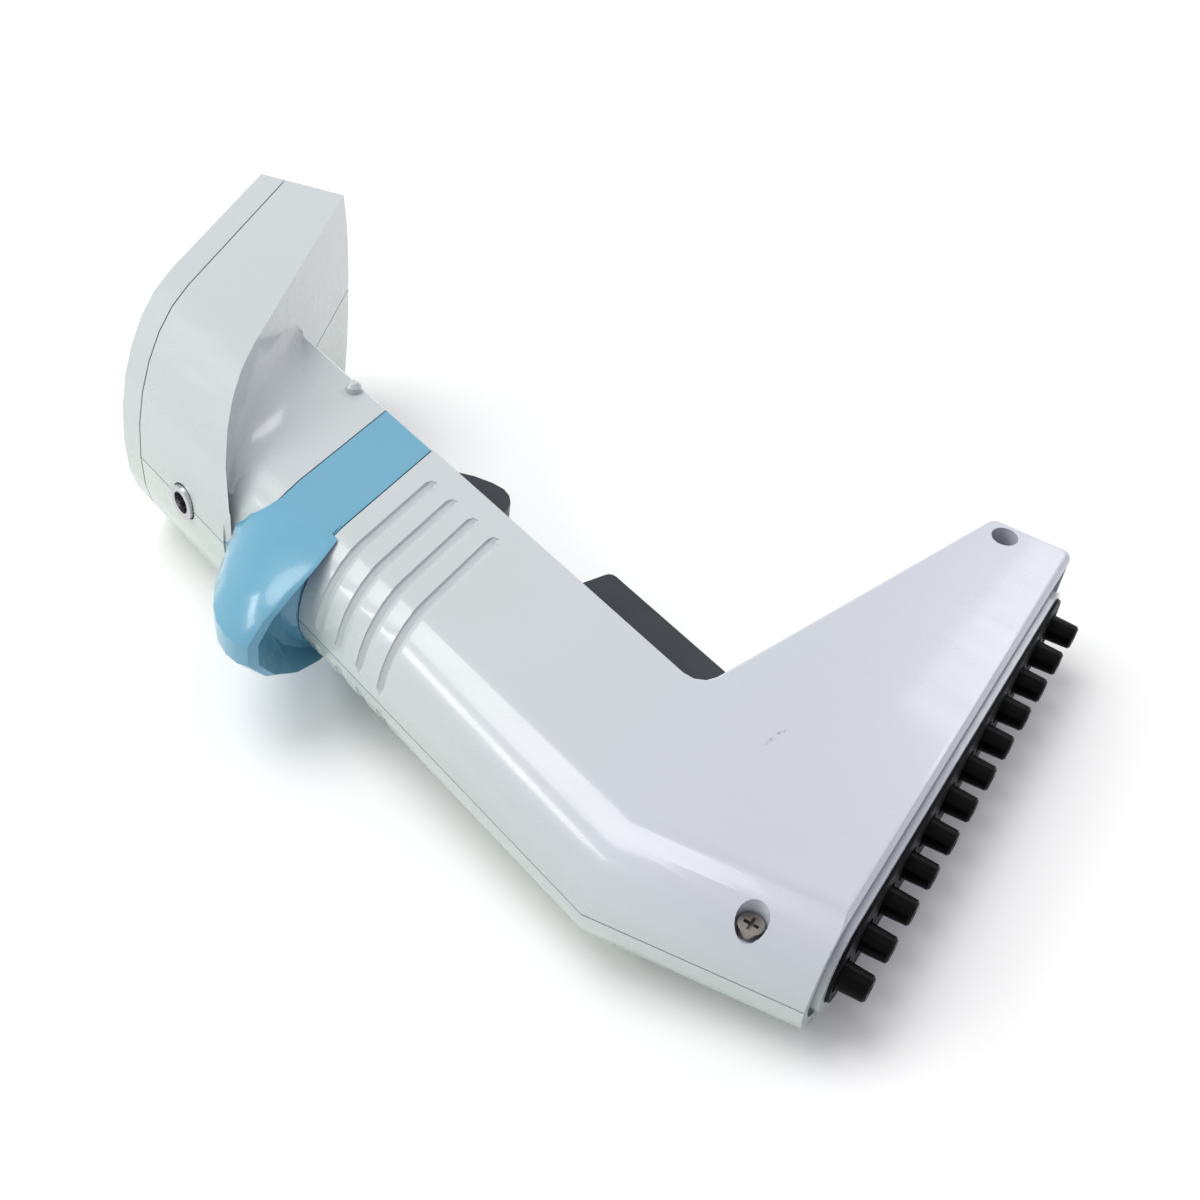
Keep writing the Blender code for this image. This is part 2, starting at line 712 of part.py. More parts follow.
def front_bezel():
    """The display face: a tray with a window seat, key openings and posts for the board."""
    slab = face_block((-HEAD_REACH, FACE_LENGTH + HEAD_REACH), (-HEAD_REACH, BEZEL_DEPTH), 2 * HEAD_HALF)
    body = kept(head_solid(0, 0), slab, solver="MANIFOLD")
    pocket = kept(
        head_solid(-THIN, WALL),
        face_block((-HEAD_REACH, FACE_LENGTH + HEAD_REACH), (FACE_WALL, HEAD_REACH), 2 * HEAD_HALF),
        solver="MANIFOLD",
    )
    seat = face_pad(WINDOW_S, 0, WINDOW_LENGTH, WINDOW_WIDTH, KEY_CORNER, (-HEAD_REACH, WINDOW_LEDGE))
    rim = 2 * KEY_CORNER
    view = face_pad(WINDOW_S, 0, WINDOW_LENGTH - rim, WINDOW_WIDTH - rim, EDGE_FILLET, (0, HEAD_REACH))
    holes = [
        face_pad(s, z, KEY_LENGTH + 2 * SEAM, KEY_WIDTH + 2 * SEAM, KEY_CORNER, (-HEAD_REACH, HEAD_REACH))
        for s, z in KEYS
    ]
    body = cut(body, pocket, seat, view, together(*holes), solver="MANIFOLD")
    low = FACE_WALL - EDGE_FILLET
    posts = [in_head(rod((s, low, z), (s, BOARD_P - SEAM, z), POST_RADIUS, 12)) for s, z in POST_ENDS]
    return joined(body, together(*posts), solver="MANIFOLD")


def display_window():
    """The clear pane that sits in the bezel's window seat."""
    span = (WINDOW_LENGTH - 2 * SEAM, WINDOW_WIDTH - 2 * SEAM)
    return face_pad(WINDOW_S, 0, *span, KEY_CORNER - SEAM, (WINDOW_SINK, WINDOW_SINK + WINDOW_THICKNESS))


def lcd_module():
    """The display module between the face and the board."""
    half = WINDOW_LENGTH / 2 + LCD_MARGIN
    half_width = WINDOW_WIDTH / 2 + LCD_MARGIN
    return face_block((WINDOW_S - half, WINDOW_S + half), (FACE_WALL + SEAM, LCD_BACK_P), half_width)


def key(s, z):
    """One key: a cap through the face with a flange behind it and a stem on the mat."""
    cap = face_pad(s, z, KEY_LENGTH, KEY_WIDTH, KEY_CORNER, (-KEY_PROUD, KEY_STEM_END))
    flange_p = (FACE_WALL + SEAM, FACE_WALL + SEAM + KEY_FLANGE_THICKNESS)
    wide = 2 * KEY_FLANGE
    flange = face_pad(s, z, KEY_LENGTH + wide, KEY_WIDTH + wide, KEY_CORNER, flange_p)
    return joined(cap, flange)


def keypad_mat():
    """The rubber mat that springs the keys, on the board."""
    top = KEY_STEM_END + KEY_TRAVEL + SEAM
    return face_block((MAT_LOW_S, MAT_HIGH_S), (top, LCD_BACK_P), MAT_HALF_WIDTH)


def main_board():
    """The circuit board on the bezel's posts."""
    return face_block((BOARD_LOW_S, BOARD_HIGH_S), (BOARD_P, BOARD_P + BOARD_THICKNESS), BOARD_HALF_WIDTH)


def jack_rod(radius, low, high, sides=20):
    """A round bar on the charging jack's axis, by distance in from the back of the head."""
    back = -HALF_DEPTH - HOOD_PROUD
    return in_handle(rod((JACK_A, back + low, 0), (JACK_A, back + high, 0), radius, sides))


def charging_jack():
    """The round charging socket with its centre pin."""
    barrel = cut(jack_rod(JACK_RADIUS, -JACK_PROUD, JACK_LENGTH), jack_rod(JACK_BORE, -WALL, JACK_BORE_DEPTH))
    return joined(barrel, jack_rod(JACK_PIN, JACK_PROUD, JACK_BORE_DEPTH + EDGE_FILLET, 12))


def head_shell(right):
    """One half of the head with its half of the neck, open towards the face and the collar."""
    neck_start = HEAD_TIP.x + FACE_LENGTH / 2
    neck = kept(handle_section(0, neck_start, HOOK_TIP_A), face_side(), solver="MANIFOLD")
    outer = joined(head_solid(BEZEL_DEPTH + SEAM, 0), neck, neck_fillet(), solver="MANIFOLD")
    if right:
        outer = joined(outer, neck_nub(), solver="MANIFOLD")
    neck_hollow = handle_section(WALL + THIN, BATTERY_TOP_A - WALL, HOOK_TIP_A + WALL)
    hollow = joined(head_solid(-THIN, WALL), neck_hollow, solver="MANIFOLD")
    far_side = block((-BEYOND, -BEYOND, -BEYOND), (BEYOND, BEYOND, SEAM / 2))
    jack_hole = jack_rod(JACK_RADIUS + SEAM, -BEZEL_DEPTH, JACK_LENGTH + WALL)
    return cut(outer, hollow, far_side, band(MOUTH_X, SEAM), jack_hole, solver="MANIFOLD")


def face_side():
    """Everything behind the seam between the bezel and the head shells."""
    span = (-HEAD_REACH, FACE_LENGTH + 2 * HEAD_REACH)
    return face_block(span, (BEZEL_DEPTH + SEAM, 3 * HEAD_REACH), 2 * HEAD_HALF)


def neck_nub():
    """The small round nub on the right side of the neck."""
    x, y = NUB_PLACE
    low = BODY_HALF - EDGE_FILLET
    crown = [
        (low, NUB_RADIUS * 1.15),
        (BODY_HALF + NUB_HEIGHT * 0.6, NUB_RADIUS),
        (BODY_HALF + NUB_HEIGHT, NUB_RADIUS * 0.5),
    ]
    turn = Matrix.Translation((x, y, 0)) @ Matrix.Rotation(-pi / 2, 4, "Y")
    return moved(turned(crown, 12), turn)


def battery_pack():
    """The battery, shaped to the inside of the collar."""
    inset = WALL + SEAM + SPIGOT_WALL + SEAM
    back = JACK_LENGTH + SEAM - HALF_DEPTH
    envelope = in_handle(block((BATTERY_TOP_A - WALL, back, -BODY_HALF), (0.0, HALF_DEPTH, BODY_HALF)))
    return kept(handle_section(inset, BATTERY_TOP_A, BATTERY_END_A), envelope)


def hook_collar():
    """The collar between head and housing, with spigots into both and the finger hook behind."""
    wide = (COLLAR_TOP_X * 2, 0.0)
    ring = kept(handle_section(0, *wide), band(HOUSING_TOP_X - SEAM, 0))
    lower_end = HOUSING_TOP_X + SPIGOT_LENGTH
    spigot = kept(handle_section(WALL + SEAM, *wide), band(lower_end, SPIGOT_LENGTH))
    trigger_bay = in_handle(block((-BEYOND, TRIGGER_BAY_B, -HEAD_HALF), (0.0, HANDLE_DEPTH, HEAD_HALF)))
    housing_side = kept(trigger_bay, block((HOUSING_TOP_X - SEAM, -BEYOND, -BEYOND), (0.0, BEYOND, BEYOND)))
    spigot = cut(spigot, housing_side)
    body = joined(ring, spigot, hook(), solver="MANIFOLD")
    return cut(body, handle_section(WALL + SEAM + SPIGOT_WALL, *wide), solver="MANIFOLD")


def pin_rod(pivot, radius, end_z, sides=16):
    """A round bar across the handle through a pivot given in the handle's frame."""
    return in_handle(rod((*pivot, -end_z), (*pivot, end_z), radius, sides))


def front_slot(low_a, high_a, half_z):
    """A slot through the housing's trigger side."""
    return in_handle(block((low_a, SLOT_FLOOR_B, -half_z), (high_a, HALF_DEPTH + WALL, half_z)))


def screw_rod(y, radius, low_z, high_z, sides=20):
    """A round bar on a housing screw's axis."""
    return rod((SCREW_X, y, low_z), (SCREW_X, y, high_z), radius, sides)


def housing(right):
    """One side of the handle and manifold, with its screw wells or screw posts."""
    shell = cut(
        housing_solid(SEAM / 2, 0, MOUTH_X, HOUSING_TOP_X),
        housing_solid(-WALL, WALL, MOUTH_X + WALL, HOUSING_TOP_X - WALL),
        solver="MANIFOLD",
    )
    ceiling = BODY_HALF - WALL + EDGE_FILLET
    added = []
    rib_low = (BLOCK_BACK_X + EDGE_FILLET, STRAP_HIGH_Y + WALL, BLOCK_HALF_Z + SEAM)
    added.append(block(rib_low, (BLOCK_BACK_X + BLOCK_RIB_HEIGHT, nozzle_ys()[-1], ceiling)))
    trims = []
    well_radius = SCREW_WELL_RADIUS + SCREW_WELL_WALL
    for y in (FAR_SCREW_Y, NEAR_SCREW_Y):
        if right:
            well = kept(
                screw_rod(y, well_radius, SCREW_SEAT_Z - SCREW_WELL_FLOOR, BODY_HALF + WALL),
                housing_solid(0, THIN, MOUTH_X, HOUSING_TOP_X),
                solver="MANIFOLD",
            )
            added.append(well)
            trims.append(screw_rod(y, SCREW_WELL_RADIUS, SCREW_SEAT_Z, 2 * BODY_HALF))
            trims.append(screw_rod(y, SCREW_SHANK_RADIUS + SEAM, 0, SCREW_SEAT_Z + EDGE_FILLET))
            relief = screw_rod(y, POST_RADIUS_OUT + SEAM, -WALL, SCREW_SEAT_Z - SCREW_WELL_FLOOR)
            inside = housing_solid(-2 * WALL, SCREW_WELL_WALL, MOUTH_X, HOUSING_TOP_X)
            trims.append(kept(relief, inside, solver="MANIFOLD"))
        else:
            post_end = SCREW_SEAT_Z - SCREW_WELL_FLOOR - SEAM
            near_half = housing_solid(-SEAM, THIN, MOUTH_X, HOUSING_TOP_X)
            added.append(kept(screw_rod(y, POST_RADIUS_OUT, -WALL, ceiling), near_half, solver="MANIFOLD"))
            far_half = housing_solid(-WALL, SCREW_WELL_WALL + 2 * SEAM, MOUTH_X, HOUSING_TOP_X)
            far_post = kept(screw_rod(y, POST_RADIUS_OUT, -SEAM, post_end), far_half, solver="MANIFOLD")
            added.append(mirrored(far_post))
            trims.append(screw_rod(y, SCREW_SHANK_RADIUS + SEAM, -SCREW_SEAT_Z, -SCREW_SHANK_END_Z + SEAM))
    trims.append(front_slot(LEVER_TOP_A - SLOT_GAP * 2, -EDGE_FILLET, LEVER_HALF_Z + SLOT_GAP))
    trims.append(front_slot(TRIGGER_TOP_A * 1.1, TRIGGER_END_A + SLOT_GAP * 2, TRIGGER_HALF_Z + SLOT_GAP))
    for pivot in (EJECT_PIVOT, TRIGGER_PIVOT):
        trims.append(pin_rod(pivot, PIN_RADIUS + SEAM, PIN_END_Z + SEAM))
    trims.append(pin_rod(EJECT_PIVOT, LEVER_BOSS + RUN_GAP, STRAP_HIGH_Z + RUN_GAP, 24))
    grooves = [groove_cutter(GROOVE_FIRST_X + GROOVE_PITCH * k) for k in range(GROOVE_COUNT)]
    body = joined(shell, *added, solver="MANIFOLD")
    return cut(body, *grooves, *trims, solver="MANIFOLD")


def housing_screw(y):
    """A housing screw with a round head and a cross recess."""
    head = screw_rod(y, SCREW_HEAD_RADIUS, SCREW_SEAT_Z + SEAM, SCREW_SEAT_Z + SEAM + SCREW_HEAD_HEIGHT)
    shank = screw_rod(y, SCREW_SHANK_RADIUS, SCREW_SHANK_END_Z, SCREW_SEAT_Z + EDGE_FILLET, 12)
    floor = SCREW_SEAT_Z + SEAM + SCREW_HEAD_HEIGHT * 0.4
    slots = []
    for length, width in ((SCREW_HEAD_RADIUS * 1.2, CROSS_WIDTH), (CROSS_WIDTH, SCREW_HEAD_RADIUS * 1.2)):
        low = (SCREW_X - length / 2, y - width / 2, floor)
        slots.append(block(low, (SCREW_X + length / 2, y + width / 2, BODY_HALF)))
    return cut(joined(head, shank), *slots)


def drive_chassis():
    """The frame that carries the motor and the guide rods: a plate and a bridge joined by side rails."""
    top = (CHASSIS_TOP_A, -RAIL_HALF_B, -CHASSIS_HALF_Z)
    frame = block(top, (CYLINDER_TOP_A - SEAM, RAIL_HALF_B, CHASSIS_HALF_Z))
    inner_z = CHASSIS_HALF_Z - RAIL_THICKNESS
    window = block(
        (CHASSIS_TOP_A + CHASSIS_BRIDGE, -HANDLE_DEPTH, -inner_z),
        (CHASSIS_PLATE_A, HANDLE_DEPTH, inner_z),
    )
    bay = block((CHASSIS_PLATE_A + CHASSIS_PLATE, -HANDLE_DEPTH, -inner_z), (0.0, HANDLE_DEPTH, inner_z))
    plate_end = CHASSIS_PLATE_A + CHASSIS_PLATE
    plate = block((CHASSIS_PLATE_A, PLATE_LOW_B, -CHASSIS_HALF_Z), (plate_end, PLATE_HIGH_B, CHASSIS_HALF_Z))
    shelf_end = (CHASSIS_TOP_A + CHASSIS_BRIDGE, SWITCH_TOP_B, SWITCH_HALF_Z * 2)
    shelf = block((CHASSIS_TOP_A, 0.0, -SWITCH_HALF_Z * 2), shelf_end)
    past = EDGE_FILLET
    places = ((-ROD_B, ROD_RADIUS), (0, SCREW_RADIUS), (ROD_B, ROD_RADIUS))
    holes = [rod((CHASSIS_PLATE_A - past, b, 0), (plate_end + past, b, 0), r + SEAM, 16) for b, r in places]
    return in_handle(cut(joined(cut(frame, window, bay), plate, shelf), *holes))


def drive_motor():
    """The stepper motor, a can with an end boss, against the chassis plate."""
    face = CHASSIS_PLATE_A - SEAM
    back = face - MOTOR_LENGTH
    rim = EDGE_FILLET / 2
    profile = [
        (back - MOTOR_BOSS / 2, MOTOR_BOSS),
        (back, MOTOR_BOSS),
        (back + THIN, MOTOR_RADIUS - rim),
        (back + rim, MOTOR_RADIUS),
        (face - rim, MOTOR_RADIUS),
        (face, MOTOR_RADIUS - rim),
    ]
    return in_handle(turned(profile))


def lead_screw():
    """The lead screw, from the motor's face to the cylinder block."""
    top = CHASSIS_PLATE_A
    profile = [(top, SCREW_RADIUS - THIN * 10), (top + EDGE_FILLET / 2, SCREW_RADIUS)]
    profile += [(SCREW_END_A - EDGE_FILLET, SCREW_RADIUS), (SCREW_END_A, SCREW_RADIUS / 2)]
    return in_handle(turned(profile, 16))


def guide_rod(b):
    """One of the two rods that guide the carriage."""
    top = CHASSIS_PLATE_A + CHASSIS_PLATE / 2
    return in_handle(rod((top, b, 0), (CYLINDER_TOP_A - SEAM, b, 0), ROD_RADIUS, 12))


def piston_places():
    """The b of each piston in one row."""
    per_row = NOZZLE_COUNT // 2
    return [PISTON_PITCH * (k - (per_row - 1) / 2) for k in range(per_row)]


def piston_carriage():
    """The nut block that the screw drives along the rods."""
    end = CARRIAGE_A + CARRIAGE_THICKNESS
    body = block((CARRIAGE_A, -CARRIAGE_HALF_B, -CARRIAGE_HALF_Z), (end, CARRIAGE_HALF_B, CARRIAGE_HALF_Z))
    past = EDGE_FILLET
    places = ((-ROD_B, ROD_RADIUS), (0, SCREW_RADIUS), (ROD_B, ROD_RADIUS))
    holes = [rod((CARRIAGE_A - past, b, 0), (end + past, b, 0), r + RUN_GAP, 16) for b, r in places]
    return in_handle(cut(body, *holes))


def piston_rack(side):
    """A bar with six pistons, for one row of cylinders."""
    top = CARRIAGE_A + CARRIAGE_THICKNESS + SEAM
    z = side * PISTON_ROW_Z
    near_z, far_z = sorted((z - side * (RACK_BAR_HALF - SEAM), z + side * RACK_BAR_HALF))
    bar = block((top, -CARRIAGE_HALF_B, near_z), (top + RACK_BAR, CARRIAGE_HALF_B, far_z))
    tip = CYLINDER_TOP_A + PISTON_ENTRY
    pistons = [rod((top + RACK_BAR / 2, b, z), (tip, b, z), PISTON_RADIUS, 12) for b in piston_places()]
    return in_handle(joined(bar, together(*pistons)))


def cylinder_block():
    """The block with two rows of cylinders, open at both ends, and a blind hole for the screw's end."""
    low = (CYLINDER_TOP_A, -CYLINDER_HALF_B, -CYLINDER_HALF_Z)
    body = block(low, (CYLINDER_END_A, CYLINDER_HALF_B, CYLINDER_HALF_Z))
    past = EDGE_FILLET
    bores = [
        rod((CYLINDER_TOP_A - past, b, side * PISTON_ROW_Z), (CYLINDER_END_A + past, b, side * PISTON_ROW_Z),
            PISTON_RADIUS + RUN_GAP, 12)
        for b in piston_places() for side in (-1, 1)
    ]
    screw = rod((CYLINDER_TOP_A - past, 0, 0), (SCREW_END_A + past, 0, 0), SCREW_RADIUS + RUN_GAP, 16)
    return in_handle(cut(body, together(*bores), screw))


def nozzle_ys():
    """The y of each nozzle along the row."""
    return [NOZZLE_PITCH * (k - (NOZZLE_COUNT - 1) / 2) for k in range(NOZZLE_COUNT)]


def fan_outline(inset, post_radius):
    """The air channel plate's outline, from the cylinders' foot to the row, clear of the far screw post."""
    foot = CYLINDER_END_A + SEAM
    far_y = FAR_SCREW_Y - post_radius - SEAM
    near_y = -(NOZZLE_PITCH * (NOZZLE_COUNT - 1) / 2 + ROW_PLATE_MARGIN) + inset
    back = BLOCK_BACK_X - SEAM
    shoulder = WALL + 2 * SEAM + inset
    shoulder_line = (handle_point(shoulder, 0), HANDLE_ACROSS)
    far_corner = meeting(shoulder_line, (Vector((0, far_y)), Vector((1, 0))))
    wide = CYLINDER_HALF_B
    outline = [
        handle_point(foot, wide - inset),
        handle_point(foot, inset - wide),
        Vector((FAN_BEND_X, FAN_BEND_Y + inset)),
        Vector((FAN_NEAR_X - inset, FAN_NEAR_Y + inset)),
        Vector((FAN_NEAR_X + ROW_PLATE_MARGIN, near_y)),
        Vector((back, near_y)),
        Vector((back, far_y)),
        far_corner,
        handle_point(shoulder, wide - inset),
    ]
    return [tuple(point) for point in outline]


def channel(k):
    """The groove from cylinder k of a row to its nozzle: a strip along a smooth curve across the fan."""
    side = 1 if k % 2 else -1
    place = k // 2
    per_row = NOZZLE_COUNT // 2
    b = piston_places()[place]
    y = nozzle_ys()[k]
    reach = CHANNEL_REACH + CHANNEL_REACH_STEP * (per_row - 1 - place)
    foot = CYLINDER_END_A + SEAM
    start = handle_point(foot, b)
    end = Vector((BLOCK_BACK_X - SEAM, y))
    middle = curve(start, handle_point(foot + reach, b), (end.x - CHANNEL_RUN, y), end, CHANNEL_STEPS)
    first = handle_point(foot - EDGE_FILLET, b)
    line = [first, start, *middle, Vector((end.x + EDGE_FILLET, y))]
    left = drawn_in(line, CHANNEL_WIDTH / 2)
    right = drawn_in(line, -CHANNEL_WIDTH / 2)
    outline = left + right[::-1]
    floor = PLATE_HALF - CHANNEL_DEPTH
    low, high = (floor, PLATE_HALF + EDGE_FILLET) if side > 0 else (-PLATE_HALF - EDGE_FILLET, -floor)
    return prism([tuple(point) for point in outline], low, high)


def channel_plate():
    """The fan-shaped plate whose grooves lead each cylinder's air to its own nozzle."""
    plate = prism(fan_outline(0, POST_RADIUS_OUT), -PLATE_HALF, PLATE_HALF)
    return cut(plate, together(*[channel(k) for k in range(NOZZLE_COUNT)]))


def channel_cover(side):
    """The cover that closes the grooves on one side of the channel plate."""
    low = PLATE_HALF + SEAM
    cover = prism(fan_outline(EDGE_FILLET / 2, SCREW_WELL_RADIUS + SCREW_WELL_WALL), low, low + CHANNEL_COVER)
    return cover if side > 0 else mirrored(cover)


def nozzle_block():
    """The bar that holds the nozzles, bored through for each one."""
    end = NOZZLE_PITCH * (NOZZLE_COUNT - 1) / 2 + NOZZLE_ROOT_RADIUS + BLOCK_END_MARGIN
    body = block((BLOCK_BACK_X, -end, -BLOCK_HALF_Z), (BLOCK_FACE_X, end, BLOCK_HALF_Z))
    seats = [
        rod((NOZZLE_STUB_X - SEAM, y, 0), (BLOCK_FACE_X + EDGE_FILLET, y, 0), NOZZLE_STUB_RADIUS + SEAM, 12)
        for y in nozzle_ys()
    ]
    risers = []
    for k, y in enumerate(nozzle_ys()):
        side = 1 if k % 2 else -1
        deep = PLATE_HALF - CHANNEL_DEPTH / 2
        low, high = (-NOZZLE_BORE, deep) if side > 0 else (-deep, NOZZLE_BORE)
        half = CHANNEL_WIDTH / 2
        back = BLOCK_BACK_X - EDGE_FILLET
        risers.append(block((back, y - half, low), (NOZZLE_STUB_X - SEAM + EDGE_FILLET / 2, y + half, high)))
    return cut(body, together(*seats), together(*risers))


def nozzle(y):
    """One nozzle: a tapered cone with a stub in the block, bored through."""
    shoulder = BLOCK_FACE_X + SEAM
    taper = (NOZZLE_ROOT_RADIUS - NOZZLE_TIP_RADIUS) / NOZZLE_LENGTH
    profile = [
        (NOZZLE_STUB_X, NOZZLE_STUB_RADIUS),
        (shoulder, NOZZLE_STUB_RADIUS),
        (shoulder + THIN, NOZZLE_TIP_RADIUS - taper * shoulder),
        (-NOZZLE_RIM, NOZZLE_TIP_RADIUS + taper * NOZZLE_RIM),
        (0, NOZZLE_TIP_RADIUS - NOZZLE_RIM),
        (-THIN, NOZZLE_BORE),
        (NOZZLE_STUB_X + THIN, NOZZLE_BORE),
    ]
    return moved(ring_turned(profile, 16), Matrix.Translation((0, y, 0)))


def ring_turned(profile, sides):
    """A bored solid turned about the x axis from a closed (x, radius) profile."""
    count = len(profile)
    turns = [2 * pi * k / sides for k in range(sides)]
    points = [Vector((x, r * cos(turn), r * sin(turn))) for turn in turns for x, r in profile]
    faces = []
    for k in range(sides):
        ahead = (k + 1) % sides
        for i in range(count):
            j = (i + 1) % count
            faces.append((k * count + i, k * count + j, ahead * count + j, ahead * count + i))
    return points, faces


def row_slab(low_y, high_y, half_z, low_x, high_x):
    """A slab along the row with round ends, between two x."""
    places = ((low_y, -half_z), (high_y, -half_z), (high_y, half_z), (low_y, half_z))
    corners = [Vector(place) for place in places]
    ring = rounded(corners, [half_z * SKIRT_END_ROUND] * 4, 5)
    return loft([[(x, point.x, point.y) for point in ring] for x in (low_x, high_x)])


def plate_slab(inset, low_x, high_x):
    """A slab of the opening in the ejector's frame, drawn in by an inset."""
    end = NOZZLE_PITCH * (NOZZLE_COUNT - 1) / 2 + NOZZLE_ROOT_RADIUS + 3 * NOZZLE_CLEARANCE - inset
    return row_slab(-end, end, SKIRT_HALF_Z - SKIRT_WALL - inset, low_x, high_x)


def ejector_skirt():
    """The ejector's frame round the nozzles, with its two straps up to the eject lever."""
    back = SKIRT_FACE_X - SKIRT_THICKNESS
    low_y = NEAR_END_Y + WALL + SKIRT_END_GAP
    high_y = FAR_END_Y - WALL - SKIRT_END_GAP / 2
    frame = cut(
        row_slab(low_y, high_y, SKIRT_HALF_Z, back, SKIRT_FACE_X),
        plate_slab(0, back - EDGE_FILLET, SKIRT_FACE_X + EDGE_FILLET),
    )
    low = (STRAP_TOP_X, STRAP_LOW_Y, STRAP_LOW_Z)
    strap = block(low, (back + EDGE_FILLET, STRAP_HIGH_Y, STRAP_HIGH_Z - THIN))
    return joined(frame, strap, mirrored(strap))


def ejector_plate():
    """The dark plate in the ejector's frame, with a hole for each nozzle."""
    back = SKIRT_FACE_X - SKIRT_THICKNESS + SEAM
    face = SKIRT_FACE_X + PLATE_PROUD
    radius = NOZZLE_ROOT_RADIUS + NOZZLE_CLEARANCE
    holes = [rod((back - EDGE_FILLET, y, 0), (face + EDGE_FILLET, y, 0), radius, 12) for y in nozzle_ys()]
    return cut(plate_slab(SEAM, back, face), together(*holes))


def eject_lever():
    """The long eject lever with its pivot boss and the two arms that push the ejector's straps."""
    pivot = Vector(EJECT_PIVOT)
    outer = HALF_DEPTH + LEVER_PROUD
    end = -LEVER_END_GAP
    inner = HALF_DEPTH + SLOT_GAP
    corners = [(LEVER_TOP_A, inner), (end, inner), (end, outer), (LEVER_TOP_A + LEVER_LEAN, outer)]
    radii = [EDGE_FILLET / 2, SHOULDER_FILLET, EDGE_FILLET, EDGE_FILLET * 1.5]
    bar = rounded([Vector(corner) for corner in corners], radii)
    handle_bar = in_handle(prism([tuple(point) for point in bar], -LEVER_HALF_Z, LEVER_HALF_Z))
    web_top = (pivot.x - LEVER_BOSS, pivot.y, -LEVER_HALF_Z)
    web = in_handle(block(web_top, (end - EDGE_FILLET, inner + EDGE_FILLET, LEVER_HALF_Z)))
    boss = in_handle(rod((*EJECT_PIVOT, -STRAP_HIGH_Z), (*EJECT_PIVOT, STRAP_HIGH_Z), LEVER_BOSS))
    axle = (HANDLE_FRAME @ Vector((*EJECT_PIVOT, 0))).to_2d()
    reach = axle.y - EJECT_ARM
    push_x = STRAP_TOP_X - RUN_GAP
    arm = block((axle.x - LEVER_BOSS, reach, STRAP_LOW_Z), (push_x, axle.y, STRAP_HIGH_Z))
    body = joined(handle_bar, web, boss, arm, mirrored(arm))
    return cut(body, pin_rod(EJECT_PIVOT, PIN_RADIUS + RUN_GAP, PIN_END_Z))


def lever_pin(pivot):
    """The pin of a lever, seated in both sides of the housing."""
    return pin_rod(pivot, PIN_RADIUS, PIN_END_Z, 12)


def run_trigger():
    """The run trigger, a rounded finger pad that rocks on its pin over the switch."""
    crest = HALF_DEPTH + TRIGGER_PROUD
    middle = (TRIGGER_TOP_A + TRIGGER_END_A) / 2
    pivot = Vector(TRIGGER_PIVOT)
    rise = TRIGGER_PROUD
    side = [Vector((TRIGGER_TOP_A, pivot.y + LEVER_BOSS)), Vector((TRIGGER_TOP_A, HALF_DEPTH + EDGE_FILLET))]
    brow = (TRIGGER_TOP_A, HALF_DEPTH + rise * 0.5)
    side += curve(side[1], brow, (middle, crest), (middle + rise * 0.3, crest), 4)
    chin = (TRIGGER_END_A, crest - rise * 0.37)
    side += curve(side[-1], (TRIGGER_END_A - rise * 0.25, crest), chin, (TRIGGER_END_A, HALF_DEPTH), 5)
    inner = SWITCH_TOP_B + SWITCH_BUTTON + TRIGGER_GAP
    side += [Vector((TRIGGER_END_A - EDGE_FILLET * 0.8, inner)), Vector((pivot.x, inner))]
    pad = in_handle(prism([tuple(point) for point in side], -TRIGGER_HALF_Z, TRIGGER_HALF_Z))
    boss = in_handle(rod((*TRIGGER_PIVOT, -TRIGGER_HALF_Z), (*TRIGGER_PIVOT, TRIGGER_HALF_Z), LEVER_BOSS))
    return cut(joined(pad, boss), pin_rod(TRIGGER_PIVOT, PIN_RADIUS + RUN_GAP, PIN_END_Z))


def trigger_switch():
    """The small switch under the trigger, beside the chassis bridge."""
    top = CHASSIS_TOP_A - SEAM - SWITCH_LENGTH
    corner = (top, SWITCH_TOP_B - SWITCH_DEPTH, -SWITCH_HALF_Z)
    case = block(corner, (top + SWITCH_LENGTH, SWITCH_TOP_B, SWITCH_HALF_Z))
    half = SWITCH_LENGTH / 6
    a = top + SWITCH_LENGTH * 0.7
    low = (a - half, SWITCH_TOP_B - EDGE_FILLET, -half)
    button = block(low, (a + half, SWITCH_TOP_B + SWITCH_BUTTON, half))
    return in_handle(joined(case, button))


